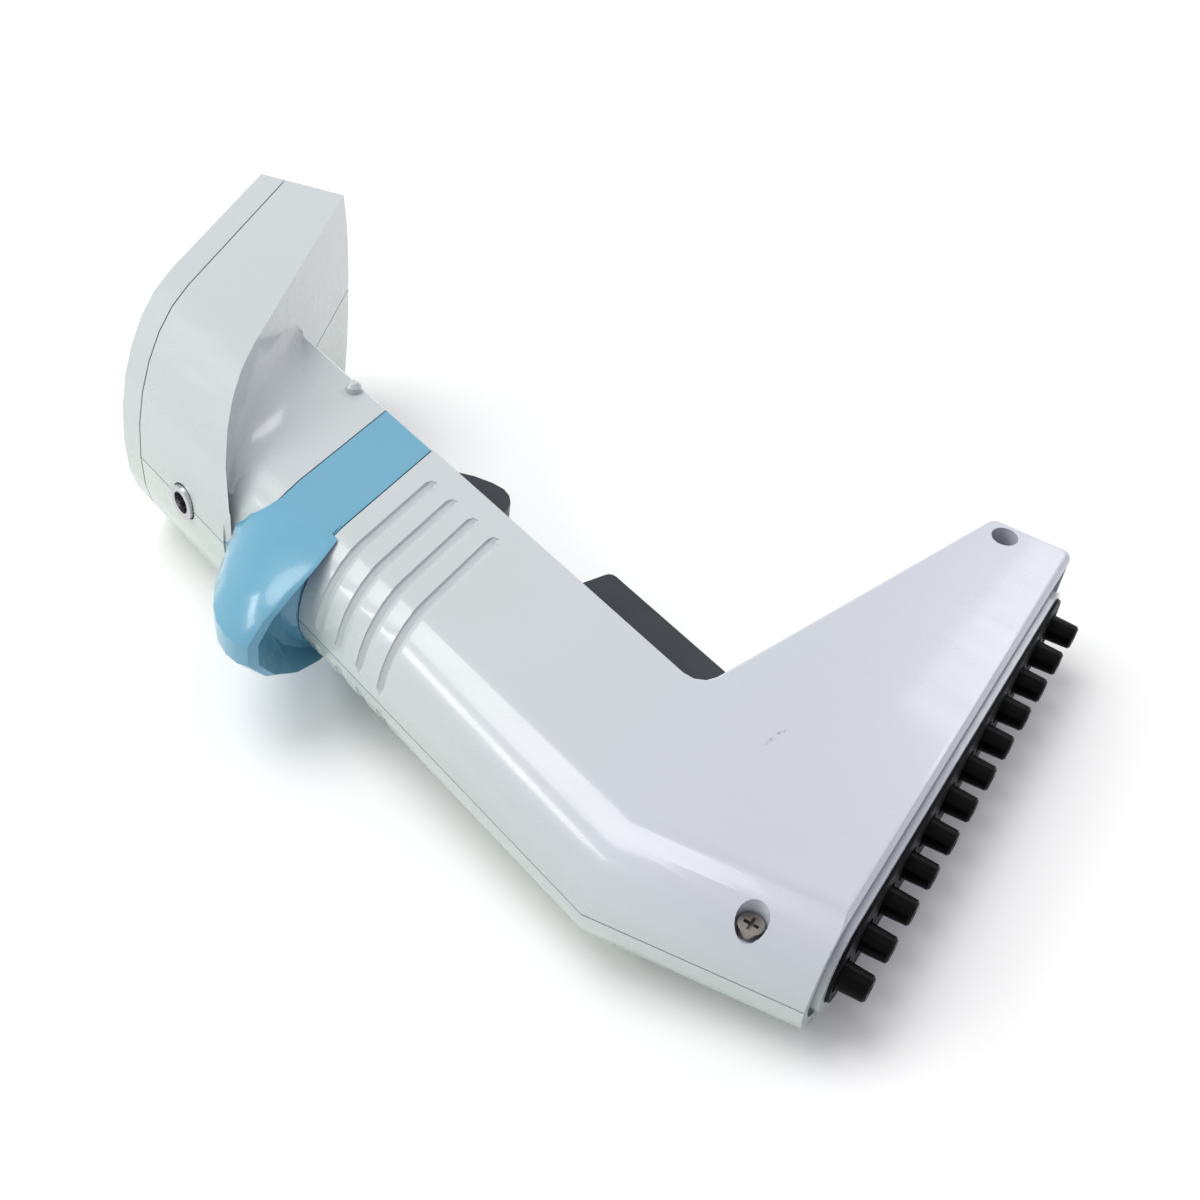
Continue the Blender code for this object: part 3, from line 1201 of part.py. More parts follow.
def build():
    """Makes every sub-part, with moving ones on their own joint axes."""
    for old in list(bpy.data.objects):
        bpy.data.objects.remove(old)
    scene = bpy.context.scene.collection
    root = bpy.data.objects.new("row_frame", None)
    handle = bpy.data.objects.new("handle_frame", None)
    head = bpy.data.objects.new("head_frame", None)
    tree = ((root, None, Matrix()), (handle, root, HANDLE_FRAME), (head, root, HEAD_FRAME))
    for empty, parent, frame in tree:
        scene.objects.link(empty)
        empty.parent = parent
        empty.matrix_local = frame
    frames = {root: Matrix(), handle: HANDLE_FRAME, head: HEAD_FRAME}

    white = material("white_shell", (0.80, 0.81, 0.82), 0.25)
    blue = material("blue_collar", (0.17, 0.42, 0.60), 0.3)
    dark = material("dark_lever", (0.035, 0.045, 0.06), 0.4)
    black = material("black_nozzle", (0.012, 0.012, 0.014), 0.45)
    clear = material("window", (0.05, 0.06, 0.07), 0.1)
    steel = material("steel", (0.62, 0.62, 0.63), 0.3, 1.0)
    frame_grey = material("inner_plastic", (0.42, 0.43, 0.45), 0.5)
    board = material("board", (0.03, 0.20, 0.09), 0.5)
    rubber = material("key_rubber", (0.30, 0.33, 0.36), 0.6)

    pieces = []

    def add(name, solid, finish, frame=root, origin=(0, 0, 0)):
        """One sub-part, its points taken into its frame and about its own origin."""
        place = Vector(origin)
        local = moved(solid, Matrix.Translation(-place) @ frames[frame].inverted())
        mesh = mesh_of(name, local)
        mesh.materials.append(finish)
        mesh.shade_smooth()
        mesh.set_sharp_from_angle(angle=radians(35))
        obj = bpy.data.objects.new(name, mesh)
        obj.location = place
        obj.parent = frame
        scene.objects.link(obj)
        pieces.append(obj)

    add("head_shell_right", head_shell(True), white)
    add("head_shell_left", mirrored(head_shell(False)), white)
    add("front_bezel", front_bezel(), white, head)
    add("display_window", display_window(), clear, head)
    add("lcd_module", lcd_module(), clear, head)
    add("main_board", main_board(), board, head)
    add("keypad_mat", keypad_mat(), rubber, head)
    for k, (s, z) in enumerate(KEYS):
        add(f"key_{k + 1}", key(s, z), rubber, head, (s, 0, z))
    add("charging_jack", charging_jack(), steel, handle)
    add("battery_pack", battery_pack(), blue, handle)
    add("hook_collar", hook_collar(), blue, handle)
    add("housing_right", housing(True), white)
    add("housing_left", mirrored(housing(False)), white)
    add("housing_screw_far", housing_screw(FAR_SCREW_Y), steel, root, (SCREW_X, FAR_SCREW_Y, 0))
    add("housing_screw_near", housing_screw(NEAR_SCREW_Y), steel, root, (SCREW_X, NEAR_SCREW_Y, 0))
    add("drive_chassis", drive_chassis(), frame_grey, handle)
    add("drive_motor", drive_motor(), steel, handle)
    add("lead_screw", lead_screw(), steel, handle)
    add("guide_rod_front", guide_rod(ROD_B), steel, handle)
    add("guide_rod_back", guide_rod(-ROD_B), steel, handle)
    add("piston_carriage", piston_carriage(), frame_grey, handle, (CARRIAGE_A, 0, 0))
    add("piston_rack_right", piston_rack(1), steel, handle, (CARRIAGE_A, 0, 0))
    add("piston_rack_left", piston_rack(-1), steel, handle, (CARRIAGE_A, 0, 0))
    add("cylinder_block", cylinder_block(), frame_grey, handle)
    add("channel_plate", channel_plate(), frame_grey)
    add("channel_cover_right", channel_cover(1), frame_grey)
    add("channel_cover_left", channel_cover(-1), frame_grey)
    add("nozzle_block", nozzle_block(), frame_grey)
    for k, y in enumerate(nozzle_ys()):
        add(f"nozzle_{k + 1:02d}", nozzle(y), black, root, (0, y, 0))
    add("ejector_skirt", ejector_skirt(), white)
    add("ejector_plate", ejector_plate(), black)
    add("eject_lever", eject_lever(), dark, handle, (*EJECT_PIVOT, 0))
    add("eject_lever_pin", lever_pin(EJECT_PIVOT), steel, handle)
    add("run_trigger", run_trigger(), dark, handle, (*TRIGGER_PIVOT, 0))
    add("trigger_pin", lever_pin(TRIGGER_PIVOT), steel, handle)
    add("trigger_switch", trigger_switch(), dark, handle)

    bpy.context.view_layer.update()
    corners = [obj.matrix_world @ vertex.co for obj in pieces for vertex in obj.data.vertices]
    middle = [(min(c[i] for c in corners) + max(c[i] for c in corners)) / 2 for i in (0, 1)]
    root.location = (-middle[0], -middle[1], -min(corner.z for corner in corners))


build()
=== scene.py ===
"""Looks of the electronic multichannel pipette: glossy shells, dark levers and nozzles, studio floor."""

from math import atan, cos, pi, radians, sqrt

import bmesh
import bpy
from mathutils import Matrix, Vector


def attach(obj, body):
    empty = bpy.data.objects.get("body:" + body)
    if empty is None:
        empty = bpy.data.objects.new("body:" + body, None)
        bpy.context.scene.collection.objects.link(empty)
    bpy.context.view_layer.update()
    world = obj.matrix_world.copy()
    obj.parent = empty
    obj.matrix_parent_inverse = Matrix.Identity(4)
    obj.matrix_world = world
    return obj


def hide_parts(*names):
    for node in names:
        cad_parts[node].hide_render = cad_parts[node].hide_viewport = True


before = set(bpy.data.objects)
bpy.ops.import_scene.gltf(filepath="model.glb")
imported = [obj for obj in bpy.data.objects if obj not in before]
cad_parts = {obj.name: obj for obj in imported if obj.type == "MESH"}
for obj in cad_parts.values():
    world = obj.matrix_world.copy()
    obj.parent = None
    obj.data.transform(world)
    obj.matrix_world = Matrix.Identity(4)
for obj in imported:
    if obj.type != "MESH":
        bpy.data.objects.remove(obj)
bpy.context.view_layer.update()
scene = bpy.context.scene
scene.view_settings.view_transform = "Standard"

# Camera of the photograph, in the part's own frame
CAMERA_PLACE = (0.12239, -0.21310, 0.2538)
CAMERA_RIGHT = Vector((0.853, 0.510, 0.106))
CAMERA_UP = Vector((-0.418, 0.550, 0.723))
LENS = 51.14
SENSOR = 36.0
CAMERA_SHIFT = (-0.00265, -0.00516)
CLIP_START = 0.01
CLIP_END = 20.0

# Floor: the tool lies on its head's side and on the manifold's mouth
REST_POINT = Vector((-0.060, -0.0006, 0.0))
REST_SLOPE = 0.08865
FLOOR_SIZE = 6.0
FLOOR_COLOUR = (0.93, 0.93, 0.935)

# Sky, with its colours behind the head and ahead of the nozzles
SKY_LEVEL = 0.62
SKY_BEHIND = (1.62, 1.68, 1.52)
SKY_AHEAD = (0.38, 0.32, 0.48)
SKY_SEEN = (1.0, 1.0, 1.0)

# Lamps
SUN_ENERGY = 1.25
SUN_SOFTNESS = radians(35)
SUN_FROM = Vector((-0.55, -0.09, 1.17))
BOX_ENERGY = 1.6
BOX_TARGET = Vector((0, 0, 0.02))

# Head: half its width, its display face, and the superellipse of its rounded back
HEAD_HALF = 0.027
HEAD_TIP = (-0.1641, 0.0355)
FACE_LEAN = radians(32.5)
HOOD_CENTRE_B = -0.0005
HOOD_DEPTH = 0.0204
HOOD_POWER = 2.2

# Handle: its place, and the round spine that the neck and the collar share with it
MID_Z = HEAD_HALF
HANDLE_TILT = radians(18.65)
HANDLE_ORIGIN = Vector((0.044294, -0.035301, MID_Z))
CASE_HALF = 0.0135
SPINE_CENTRE_B = -0.007
COLLAR_END_X = -0.0233

# How the hook and the neck's fillet are drawn onto their neighbours
SURFACE_DEPTH = 0.0004
HOOK_SWEEP = 0.4
FILLET_SPAN = (-0.110, -0.088)
RIM_MARGIN = 0.0015

# Counts of what repeats
KEYS = 4
NOZZLES = 12

# Mesh clean-up and broken edges
WELD = 2e-6
FLAT = radians(0.05)
EDGE_ANGLE = radians(32)
LEVER_EDGE = 0.00025
PANE_EDGE = 0.0002
KEY_EDGE = 0.0003

# Colours of the shells; the lilac is a painted tint of shade and the green a painted tint of light
SHELL_DIM = (0.500, 0.545, 0.555)
SHELL_PALE = (0.520, 0.548, 0.575)
SHELL_PAINTED_SHADE_LILAC = (0.510, 0.528, 0.600)
SHELL_PAINTED_LIGHT_GREEN = (0.480, 0.550, 0.510)
SPECK = (0.42, 0.41, 0.40)
BLUE_DEEP = (0.105, 0.330, 0.475)
BLUE_PALE = (0.122, 0.345, 0.490)

# Scuff on the handle's side: its two ends and its width
SCUFF = ((0.0666, -0.0219, 0.0405), (0.0681, -0.0161, 0.0405), 0.0007)
SCUFF_COLOUR = (0.20, 0.19, 0.20)

# Display pane
PANE_BORDER = 0.0025
PANE_BLUR = 0.0001
BORDER_INK = (0.012, 0.014, 0.017)
DISPLAY_DARK = (0.105, 0.125, 0.105)
DISPLAY_PALE = (0.125, 0.145, 0.120)

# Sockets of a Mix node that blends colours
MIX_FIRST = 6
MIX_SECOND = 7
MIX_RESULT = 2


def handle_matrix():
    """The handle's frame: a along it to the nozzles, b towards the triggers, z across."""
    return Matrix.Translation(HANDLE_ORIGIN) @ Matrix.Rotation(-HANDLE_TILT, 4, "Z")


def head_matrix():
    """The display face's frame: s along the face from its tip, p into the head, z across."""
    tip = Matrix.Translation((*HEAD_TIP, 0))
    return handle_matrix() @ tip @ Matrix.Rotation(FACE_LEAN - pi / 2, 4, "Z")


class Nodes:
    """A node material built up step by step round its Principled shader."""

    def __init__(self, name):
        self.material = bpy.data.materials.new(name)
        self.material.use_nodes = True
        self.tree = self.material.node_tree
        self.shader = self.tree.nodes["Principled BSDF"]
        self.place = self.add("ShaderNodeTexCoord").outputs["Object"]

    def add(self, kind, **values):
        """A node with its properties set."""
        node = self.tree.nodes.new(kind)
        for key, value in values.items():
            setattr(node, key, value)
        return node

    def link(self, output, socket):
        """Joins two sockets."""
        self.tree.links.new(output, socket)

    def give(self, socket, colour):
        """Sets a colour socket to a plain colour, or links it to another socket."""
        if isinstance(colour, tuple):
            socket.default_value = (*colour, 1.0)
        else:
            self.link(colour, socket)

    def noise(self, scale, detail=2.0, stretch=(1, 1, 1)):
        """Noise over the object's own metres."""
        mapping = self.add("ShaderNodeMapping")
        mapping.inputs["Scale"].default_value = stretch
        self.link(self.place, mapping.inputs["Vector"])
        noise = self.add("ShaderNodeTexNoise")
        noise.inputs["Scale"].default_value = scale
        noise.inputs["Detail"].default_value = detail
        self.link(mapping.outputs["Vector"], noise.inputs["Vector"])
        return noise.outputs["Fac"]

    def spread(self, value, low, high, start=0.3, end=0.7):
        """A value stretched from the range start to end onto the range low to high."""
        node = self.add("ShaderNodeMapRange", clamp=True)
        node.inputs["From Min"].default_value = start
        node.inputs["From Max"].default_value = end
        node.inputs["To Min"].default_value = low
        node.inputs["To Max"].default_value = high
        self.link(value, node.inputs["Value"])
        return node.outputs["Result"]

    def drift(self, scale, detail):
        """Soft noise from zero to one, for slow changes of colour."""
        return self.spread(self.noise(scale, detail), 0.0, 1.0, start=0.35, end=0.65)

    def blend(self, share, first, second):
        """A colour between two, each a colour or a socket."""
        node = self.add("ShaderNodeMix", data_type="RGBA")
        self.link(share, node.inputs[0])
        self.give(node.inputs[MIX_FIRST], first)
        self.give(node.inputs[MIX_SECOND], second)
        return node.outputs[MIX_RESULT]

    def times(self, first, second):
        """The product of two values."""
        node = self.add("ShaderNodeMath", operation="MULTIPLY")
        self.link(first, node.inputs[0])
        self.link(second, node.inputs[1])
        return node.outputs[0]

    def bump(self, height, distance):
        """Raises the surface by a height map, with its depth in metres."""
        node = self.add("ShaderNodeBump")
        node.inputs["Strength"].default_value = 1.0
        node.inputs["Distance"].default_value = distance
        self.link(height, node.inputs["Height"])
        self.link(node.outputs["Normal"], self.shader.inputs["Normal"])

    def near_segment(self, start, end, width):
        """A value of one close to a segment, falling to zero at its width, in metres."""
        start, end = Vector(start), Vector(end)
        along = (end - start).normalized()
        half = (end - start).length / 2
        turn = Vector((1, 0, 0)).rotation_difference(along)
        mapping = self.add("ShaderNodeMapping", vector_type="TEXTURE")
        mapping.inputs["Location"].default_value = (start + end) / 2
        mapping.inputs["Rotation"].default_value = turn.to_euler()
        mapping.inputs["Scale"].default_value = (half, width, width)
        self.link(self.place, mapping.inputs["Vector"])
        length = self.add("ShaderNodeVectorMath", operation="LENGTH")
        self.link(mapping.outputs["Vector"], length.inputs[0])
        return self.spread(length.outputs["Value"], 1.0, 0.0, start=0.4, end=1.0)

    def in_box(self, matrix, low, high, border, blur):
        """A value of one inside a box less a border, by its first and third sides, and zero round it."""
        half = (high - low) / 2
        mapping = self.add("ShaderNodeMapping", vector_type="TEXTURE")
        mapping.inputs["Location"].default_value = matrix @ (low + half)
        mapping.inputs["Rotation"].default_value = matrix.to_euler()
        self.link(self.place, mapping.inputs["Vector"])
        axes = self.add("ShaderNodeSeparateXYZ")
        self.link(mapping.outputs["Vector"], axes.inputs["Vector"])
        masks = []
        for axis, reach in (("X", half.x - border), ("Z", half.z - border)):
            size = self.add("ShaderNodeMath", operation="ABSOLUTE")
            self.link(axes.outputs[axis], size.inputs[0])
            masks.append(self.spread(size.outputs[0], 1.0, 0.0, reach - blur, reach + blur))
        return self.times(*masks)

    def colour(self, value):
        """Sets the base colour, a colour or a socket."""
        self.give(self.shader.inputs["Base Color"], value)

    def roughness(self, value):
        """Links the shader's roughness."""
        self.link(value, self.shader.inputs["Roughness"])

    def set(self, **values):
        """Sets plain shader values by name, with underscores for spaces."""
        for key, value in values.items():
            self.shader.inputs[key.replace("_", " ")].default_value = value


def glossy_shell(name, scuffs=()):
    """White moulded plastic with specks and scuffs, and painted light on it: a green tint of light low
    down and a lilac tint of shade towards the manifold.
    """
    made = Nodes(name)
    axes = made.add("ShaderNodeSeparateXYZ")
    made.link(made.place, axes.inputs["Vector"])
    colour = made.blend(made.drift(14.0, 1.0), SHELL_DIM, SHELL_PALE)
    # Painted shade: a lilac tint over the shell towards the manifold
    painted_shade_towards_manifold = made.spread(axes.outputs["X"], 0.0, 1.0, start=0.02, end=0.07)
    colour = made.blend(painted_shade_towards_manifold, colour, SHELL_PAINTED_SHADE_LILAC)
    # Painted light: a green tint over the shell low down
    painted_light_low_down = made.spread(axes.outputs["Z"], 1.0, 0.0, start=0.020, end=0.038)
    colour = made.blend(painted_light_low_down, colour, SHELL_PAINTED_LIGHT_GREEN)
    specks = made.spread(made.noise(2600.0, 2.0), 0.0, 0.05, start=0.66, end=0.8)
    colour = made.blend(specks, colour, SPECK)
    for start, end, width in scuffs:
        worn = made.spread(made.noise(900.0, 3.0), 0.0, 0.85, start=0.42, end=0.58)
        mark = made.times(made.near_segment(start, end, width), worn)
        colour = made.blend(mark, colour, SCUFF_COLOUR)
    made.colour(colour)
    made.roughness(made.spread(made.noise(60.0, 4.0, stretch=(1, 5, 1)), 0.20, 0.30))
    made.set(Coat_Weight=0.35, Coat_Roughness=0.06)
    made.bump(made.noise(420.0, 2.0), 0.000006)
    return made.material


def blue_shell(name):
    """Blue moulded plastic of the collar and its hook."""
    made = Nodes(name)
    made.colour(made.blend(made.drift(30.0, 2.0), BLUE_DEEP, BLUE_PALE))
    made.roughness(made.spread(made.noise(80.0, 3.0, stretch=(1, 4, 1)), 0.20, 0.30))
    made.set(Coat_Weight=0.4, Coat_Roughness=0.07)
    made.bump(made.noise(400.0, 2.0), 0.000012)
    return made.material


def fine_plastic(name, colours, roughness, grain=1500.0, depth=0.00002, specular=0.5):
    """Plastic with a fine moulded grain, between two colours and two roughnesses."""
    made = Nodes(name)
    made.colour(made.blend(made.drift(120.0, 3.0), *colours))
    made.roughness(made.spread(made.noise(300.0, 3.0), *roughness))
    made.set(Specular_IOR_Level=specular)
    made.bump(made.noise(grain, 3.0), depth)
    return made.material


def metal(name, colour, roughness, stretch):
    """Turned or drawn metal, its fine grain packed closer along one axis."""
    made = Nodes(name)
    lines = made.noise(700.0, 3.0, stretch)
    shade = tuple(channel * 0.8 for channel in colour)
    made.colour(made.blend(made.spread(lines, 0.0, 1.0), colour, shade))
    made.roughness(made.spread(lines, *roughness))
    made.set(Metallic=1.0)
    made.bump(lines, 0.000006)
    return made.material


def screen_glass(name, pane):
    """The display's pane: a dark printed border round a display that is off."""
    made = Nodes(name)
    display = made.blend(made.spread(made.noise(25.0), 0.0, 1.0), DISPLAY_DARK, DISPLAY_PALE)
    to_face = head_matrix().inverted()
    points = [to_face @ vertex.co for vertex in pane.data.vertices]
    low = Vector(min(point[axis] for point in points) for axis in range(3))
    high = Vector(max(point[axis] for point in points) for axis in range(3))
    inside = made.in_box(head_matrix(), low, high, PANE_BORDER, PANE_BLUR)
    made.colour(made.blend(inside, BORDER_INK, display))
    made.roughness(made.spread(made.noise(90.0, 4.0), 0.05, 0.10))
    made.set(Coat_Weight=0.5, Coat_Roughness=0.03)
    return made.material


def circuit_board(name):
    """Green board with a pattern of tracks."""
    made = Nodes(name)
    brick = made.add("ShaderNodeTexBrick")
    brick.inputs["Scale"].default_value = 220.0
    brick.inputs["Mortar Size"].default_value = 0.04
    made.give(brick.inputs["Color1"], (0.015, 0.14, 0.06))
    made.give(brick.inputs["Color2"], (0.018, 0.16, 0.07))
    made.give(brick.inputs["Mortar"], (0.03, 0.24, 0.10))
    made.link(made.place, brick.inputs["Vector"])
    made.colour(brick.outputs["Color"])
    made.set(Roughness=0.4)
    return made.material


def linked(name, mesh, material):
    """An object of a mesh, in the scene."""
    obj = bpy.data.objects.new(name, mesh)
    mesh.materials.append(material)
    scene.collection.objects.link(obj)
    return obj


def smooth(obj, bevel):
    """Rounds the shading of a piece, with fine broken edges if a bevel is given."""
    obj.data.shade_smooth()
    obj.data.set_sharp_from_angle(angle=EDGE_ANGLE)
    if bevel:
        edge = obj.modifiers.new("edges", "BEVEL")
        edge.width = bevel
        edge.segments = 2
        edge.limit_method = "ANGLE"
        edge.angle_limit = EDGE_ANGLE
        edge.harden_normals = False
    weighted = obj.modifiers.new("shading", "WEIGHTED_NORMAL")
    weighted.keep_sharp = True


def skin(node, body, material, bevel=0.0):
    """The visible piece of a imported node: its own solid, welded, smoothed and with broken edges."""
    bm = bmesh.new()
    bm.from_mesh(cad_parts[node].data)
    bmesh.ops.remove_doubles(bm, verts=bm.verts, dist=WELD)
    bmesh.ops.dissolve_limit(bm, angle_limit=FLAT, verts=bm.verts, edges=bm.edges)
    index = {vertex: k for k, vertex in enumerate(bm.verts)}
    points = [tuple(vertex.co) for vertex in bm.verts]
    faces = [[index[vertex] for vertex in face.verts] for face in bm.faces]
    bm.free()
    mesh = bpy.data.meshes.new(node + "_skin")
    mesh.from_pydata(points, [], faces)
    obj = linked(node + "_skin", mesh, material)
    smooth(obj, bevel)
    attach(obj, body)
    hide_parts(node)
    return obj


def sweep_hook(obj):
    """Draws the hook's lower edge in at its sides, so that it runs up into the collar's lower edge."""
    to_handle = handle_matrix().inverted()
    for vertex in obj.data.vertices:
        place = to_handle @ vertex.co
        beyond = vertex.co.x - COLLAR_END_X
        outside = Vector((place.y - SPINE_CENTRE_B, place.z)).length > CASE_HALF - SURFACE_DEPTH
        if beyond > 0 and place.y < SPINE_CENTRE_B and outside:
            share = max(1 - (place.z / CASE_HALF) ** 2, 0) ** HOOK_SWEEP
            place.x -= beyond / cos(HANDLE_TILT) * (1 - share)
            vertex.co = handle_matrix() @ place


def settle_fillet(obj):
    """Lowers the foot of the neck's fillet onto the neck's round back, and leaves the head's rim."""
    to_handle = handle_matrix().inverted()
    for vertex in obj.data.vertices:
        place = to_handle @ vertex.co
        behind = SPINE_CENTRE_B - place.y
        outside = Vector((behind, place.z)).length > CASE_HALF + SURFACE_DEPTH / 2
        if not (0 < behind < CASE_HALF and FILLET_SPAN[0] < place.x < FILLET_SPAN[1] and outside):
            continue
        share = (HOOD_CENTRE_B - place.y) / HOOD_DEPTH
        rim = HEAD_HALF * max(1 - share**HOOD_POWER, 0) ** (1 / HOOD_POWER)
        to_rim = rim - abs(place.z)
        if to_rim < RIM_MARGIN:
            continue
        drop = CASE_HALF - sqrt(CASE_HALF**2 - behind**2)
        weight = min(to_rim / (rim - CASE_HALF), 1) if rim > CASE_HALF + RIM_MARGIN else 1
        place.z -= drop * weight * (1 if place.z > 0 else -1)
        vertex.co = handle_matrix() @ place


# Materials
white = glossy_shell("white_plastic")
white_scuffed = glossy_shell("white_plastic_scuffed", [SCUFF])
blue = blue_shell("blue_plastic")
lever_plastic = fine_plastic(
    "lever_plastic",
    colours=((0.015, 0.019, 0.026), (0.020, 0.024, 0.032)),
    roughness=(0.36, 0.46),
    specular=0.35,
)
nozzle_plastic = fine_plastic(
    "nozzle_plastic",
    colours=((0.0012, 0.0012, 0.0015), (0.0020, 0.0020, 0.0024)),
    roughness=(0.26, 0.38),
    grain=900.0,
    depth=0.000008,
    specular=0.06,
)
plate_plastic = fine_plastic(
    "plate_plastic",
    colours=((0.004, 0.004, 0.005), (0.006, 0.006, 0.007)),
    roughness=(0.40, 0.55),
    specular=0.08,
)
inner_plastic = fine_plastic(
    "inner_grey_plastic",
    colours=((0.36, 0.37, 0.39), (0.42, 0.43, 0.45)),
    roughness=(0.45, 0.60),
)
battery_wrap = fine_plastic(
    "battery_film",
    colours=((0.06, 0.16, 0.28), (0.08, 0.20, 0.32)),
    roughness=(0.25, 0.40),
    grain=500.0,
    depth=0.00003,
)
key_rubber = fine_plastic(
    "key_rubber_grain",
    colours=((0.26, 0.29, 0.32), (0.30, 0.33, 0.36)),
    roughness=(0.55, 0.70),
    grain=2500.0,
)
lcd = fine_plastic(
    "display_back",
    colours=((0.10, 0.11, 0.10), (0.13, 0.14, 0.12)),
    roughness=(0.3, 0.45),
)
screw_steel = metal("screw_steel", (0.26, 0.24, 0.22), roughness=(0.22, 0.36), stretch=(6, 1, 1))
turned_steel = metal("turned_steel", (0.58, 0.58, 0.60), roughness=(0.18, 0.34), stretch=(6, 1, 1))
pin_steel = metal("drawn_steel", (0.60, 0.60, 0.61), roughness=(0.22, 0.38), stretch=(1, 1, 6))
glass = screen_glass("display_pane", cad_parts["display_window"])
board = circuit_board("circuit_board")

# Visible pieces, each on its body
CASE = "case_body"
for node in ("head_shell_right", "head_shell_left"):
    settle_fillet(skin(node, CASE, white))
for node in ("front_bezel", "housing_left"):
    skin(node, CASE, white)
skin("housing_right", CASE, white_scuffed)
sweep_hook(skin("hook_collar", CASE, blue))
skin("ejector_skirt", "ejector_body", white)
skin("ejector_plate", "ejector_body", plate_plastic)
for lever in ("eject_lever", "run_trigger"):
    skin(lever, f"{lever}_body", lever_plastic, LEVER_EDGE)
skin("charging_jack", CASE, turned_steel)
skin("display_window", CASE, glass, PANE_EDGE)
for k in range(KEYS):
    skin(f"key_{k + 1}", f"key_{k + 1}_body", key_rubber, KEY_EDGE)
for k in range(NOZZLES):
    skin(f"nozzle_{k + 1:02d}", CASE, nozzle_plastic)
for node in ("housing_screw_far", "housing_screw_near"):
    skin(node, CASE, screw_steel)

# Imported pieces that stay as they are, with their material
CARRIED_OVER = {
    "lcd_module": lcd, "main_board": board, "keypad_mat": key_rubber, "battery_pack": battery_wrap,
    "drive_chassis": inner_plastic, "drive_motor": turned_steel, "lead_screw": turned_steel,
    "guide_rod_front": pin_steel, "guide_rod_back": pin_steel, "piston_carriage": inner_plastic,
    "piston_rack_right": pin_steel, "piston_rack_left": pin_steel, "cylinder_block": inner_plastic,
    "channel_plate": inner_plastic, "channel_cover_right": inner_plastic,
    "channel_cover_left": inner_plastic, "nozzle_block": inner_plastic, "eject_lever_pin": pin_steel,
    "trigger_pin": pin_steel, "trigger_switch": plate_plastic,
}
for node, material in CARRIED_OVER.items():
    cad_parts[node].material_slots[0].material = material


def floor_material():
    """Pale matt paper that keeps the shadow."""
    made = Nodes("floor_paper")
    made.colour(FLOOR_COLOUR)
    made.set(Roughness=0.9, Specular_IOR_Level=0.0)
    return made.material


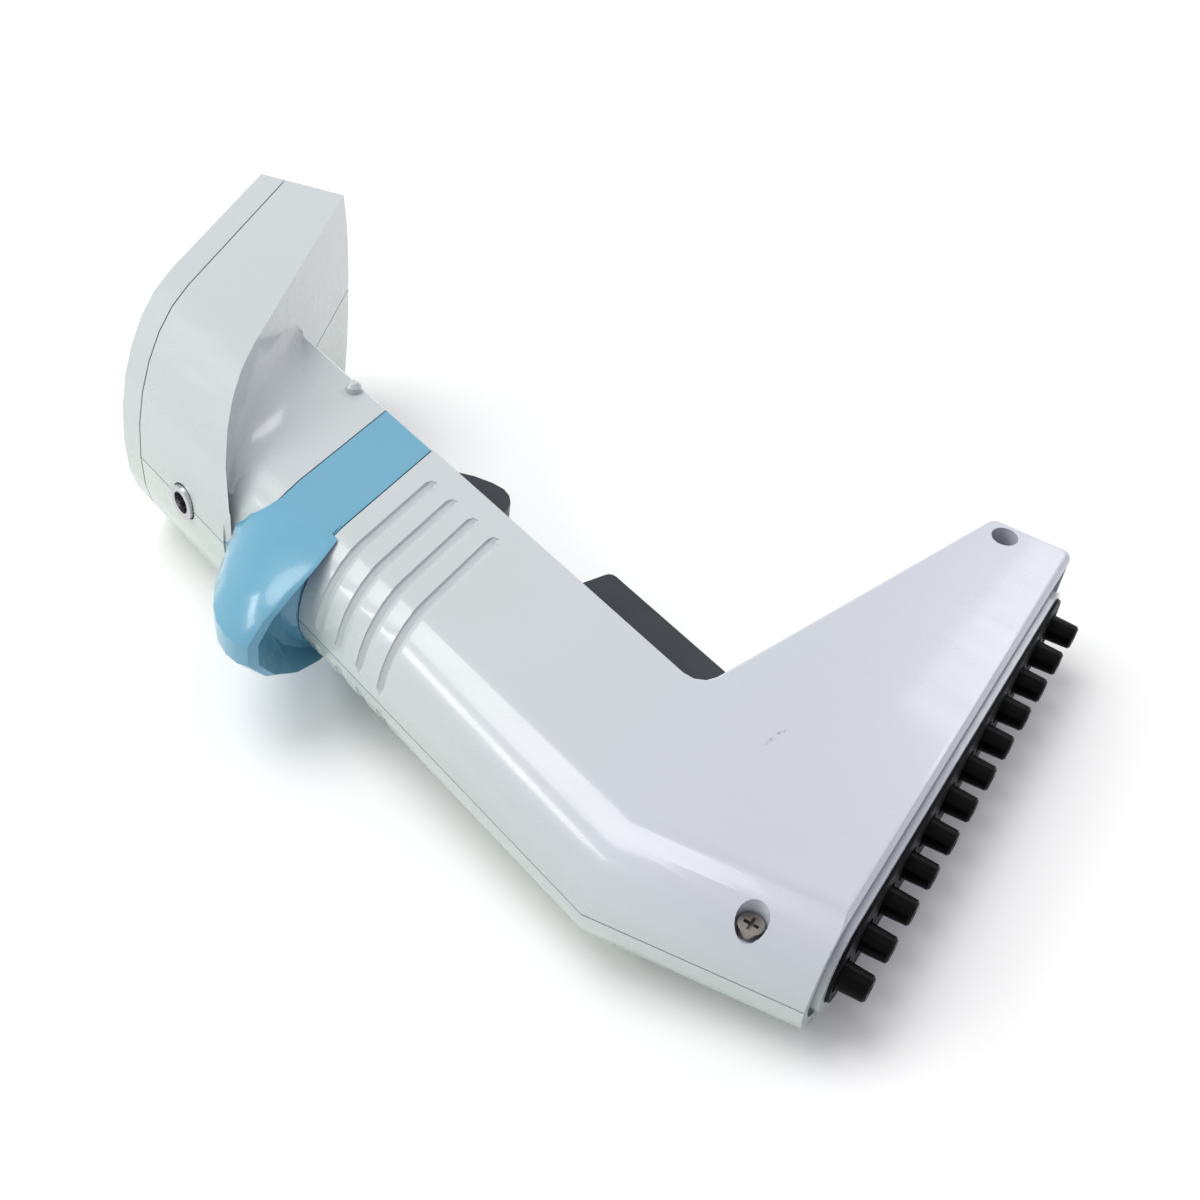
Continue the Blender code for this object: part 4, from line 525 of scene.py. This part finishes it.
def world_light():
    """Soft sky, brighter behind the head, and plain white where it is seen directly or in gloss."""
    world = bpy.data.worlds.new("studio")
    scene.world = world
    world.use_nodes = True
    tree = world.node_tree
    tree.nodes.clear()
    path = tree.nodes.new("ShaderNodeLightPath")
    gloss = tree.nodes.new("ShaderNodeMath")
    gloss.operation = "MAXIMUM"
    tree.links.new(path.outputs["Is Glossy Ray"], gloss.inputs[0])
    tree.links.new(path.outputs["Is Transmission Ray"], gloss.inputs[1])
    seen = tree.nodes.new("ShaderNodeMath")
    seen.operation = "MAXIMUM"
    tree.links.new(path.outputs["Is Camera Ray"], seen.inputs[0])
    tree.links.new(gloss.outputs[0], seen.inputs[1])
    sides = tree.nodes.new("ShaderNodeSeparateXYZ")
    tree.links.new(tree.nodes.new("ShaderNodeTexCoord").outputs["Generated"], sides.inputs["Vector"])
    ramp = tree.nodes.new("ShaderNodeMapRange")
    ramp.inputs["From Min"].default_value = -1.0
    tree.links.new(sides.outputs["X"], ramp.inputs["Value"])
    tint = tree.nodes.new("ShaderNodeMix")
    tint.data_type = "RGBA"
    tree.links.new(ramp.outputs["Result"], tint.inputs[0])
    tint.inputs[MIX_FIRST].default_value = (*SKY_BEHIND, 1.0)
    tint.inputs[MIX_SECOND].default_value = (*SKY_AHEAD, 1.0)
    sky = tree.nodes.new("ShaderNodeBackground")
    tree.links.new(tint.outputs[MIX_RESULT], sky.inputs["Color"])
    sky.inputs["Strength"].default_value = SKY_LEVEL
    plain = tree.nodes.new("ShaderNodeBackground")
    plain.inputs["Color"].default_value = (*SKY_SEEN, 1.0)
    plain.inputs["Strength"].default_value = 1.0
    mix = tree.nodes.new("ShaderNodeMixShader")
    tree.links.new(seen.outputs[0], mix.inputs[0])
    tree.links.new(sky.outputs[0], mix.inputs[1])
    tree.links.new(plain.outputs[0], mix.inputs[2])
    out = tree.nodes.new("ShaderNodeOutputWorld")
    tree.links.new(mix.outputs[0], out.inputs["Surface"])


def aimed(name, data, direction):
    """A lamp in the scene that shines along a direction."""
    lamp = bpy.data.objects.new(name, data)
    lamp.rotation_mode = "QUATERNION"
    lamp.rotation_quaternion = direction.to_track_quat("-Z", "Y")
    scene.collection.objects.link(lamp)
    return lamp


def soft_box(name, place, size):
    """A rectangular lamp that looks at the tool."""
    data = bpy.data.lights.new(name, "AREA")
    data.shape = "RECTANGLE"
    data.size, data.size_y = size
    data.energy = BOX_ENERGY
    aimed(name, data, BOX_TARGET - Vector(place)).location = place


def sun_lamp():
    """A broad sun from high on the head's side."""
    data = bpy.data.lights.new("sun", "SUN")
    data.energy = SUN_ENERGY
    data.angle = SUN_SOFTNESS
    aimed("sun", data, -SUN_FROM)


def build_stage():
    """Floor, sky, sun and soft boxes."""
    half = FLOOR_SIZE / 2
    corners = [(-half, -half, 0), (half, -half, 0), (half, half, 0), (-half, half, 0)]
    mesh = bpy.data.meshes.new("floor")
    mesh.from_pydata(corners, [], [(0, 1, 2, 3)])
    floor = linked("floor", mesh, floor_material())
    floor.matrix_world = Matrix.Translation(REST_POINT) @ Matrix.Rotation(-atan(REST_SLOPE), 4, "Y")
    world_light()
    sun_lamp()
    soft_box("box_left", (-0.55, -0.45, 0.55), size=(0.5, 0.12))
    soft_box("box_top", (0.25, 0.7, 0.7), size=(0.6, 0.2))


def build_camera():
    """The camera at the photograph's viewpoint."""
    data = bpy.data.cameras.new("camera")
    data.lens = LENS
    data.sensor_width = SENSOR
    data.shift_x, data.shift_y = CAMERA_SHIFT
    data.clip_start = CLIP_START
    data.clip_end = CLIP_END
    camera = bpy.data.objects.new("camera", data)
    back = CAMERA_RIGHT.cross(CAMERA_UP).normalized()
    right = CAMERA_RIGHT.normalized()
    up = back.cross(right)
    turn = Matrix((right, up, back)).transposed().to_4x4()
    camera.matrix_world = Matrix.Translation(CAMERA_PLACE) @ turn
    scene.collection.objects.link(camera)
    scene.camera = camera


build_stage()
build_camera()
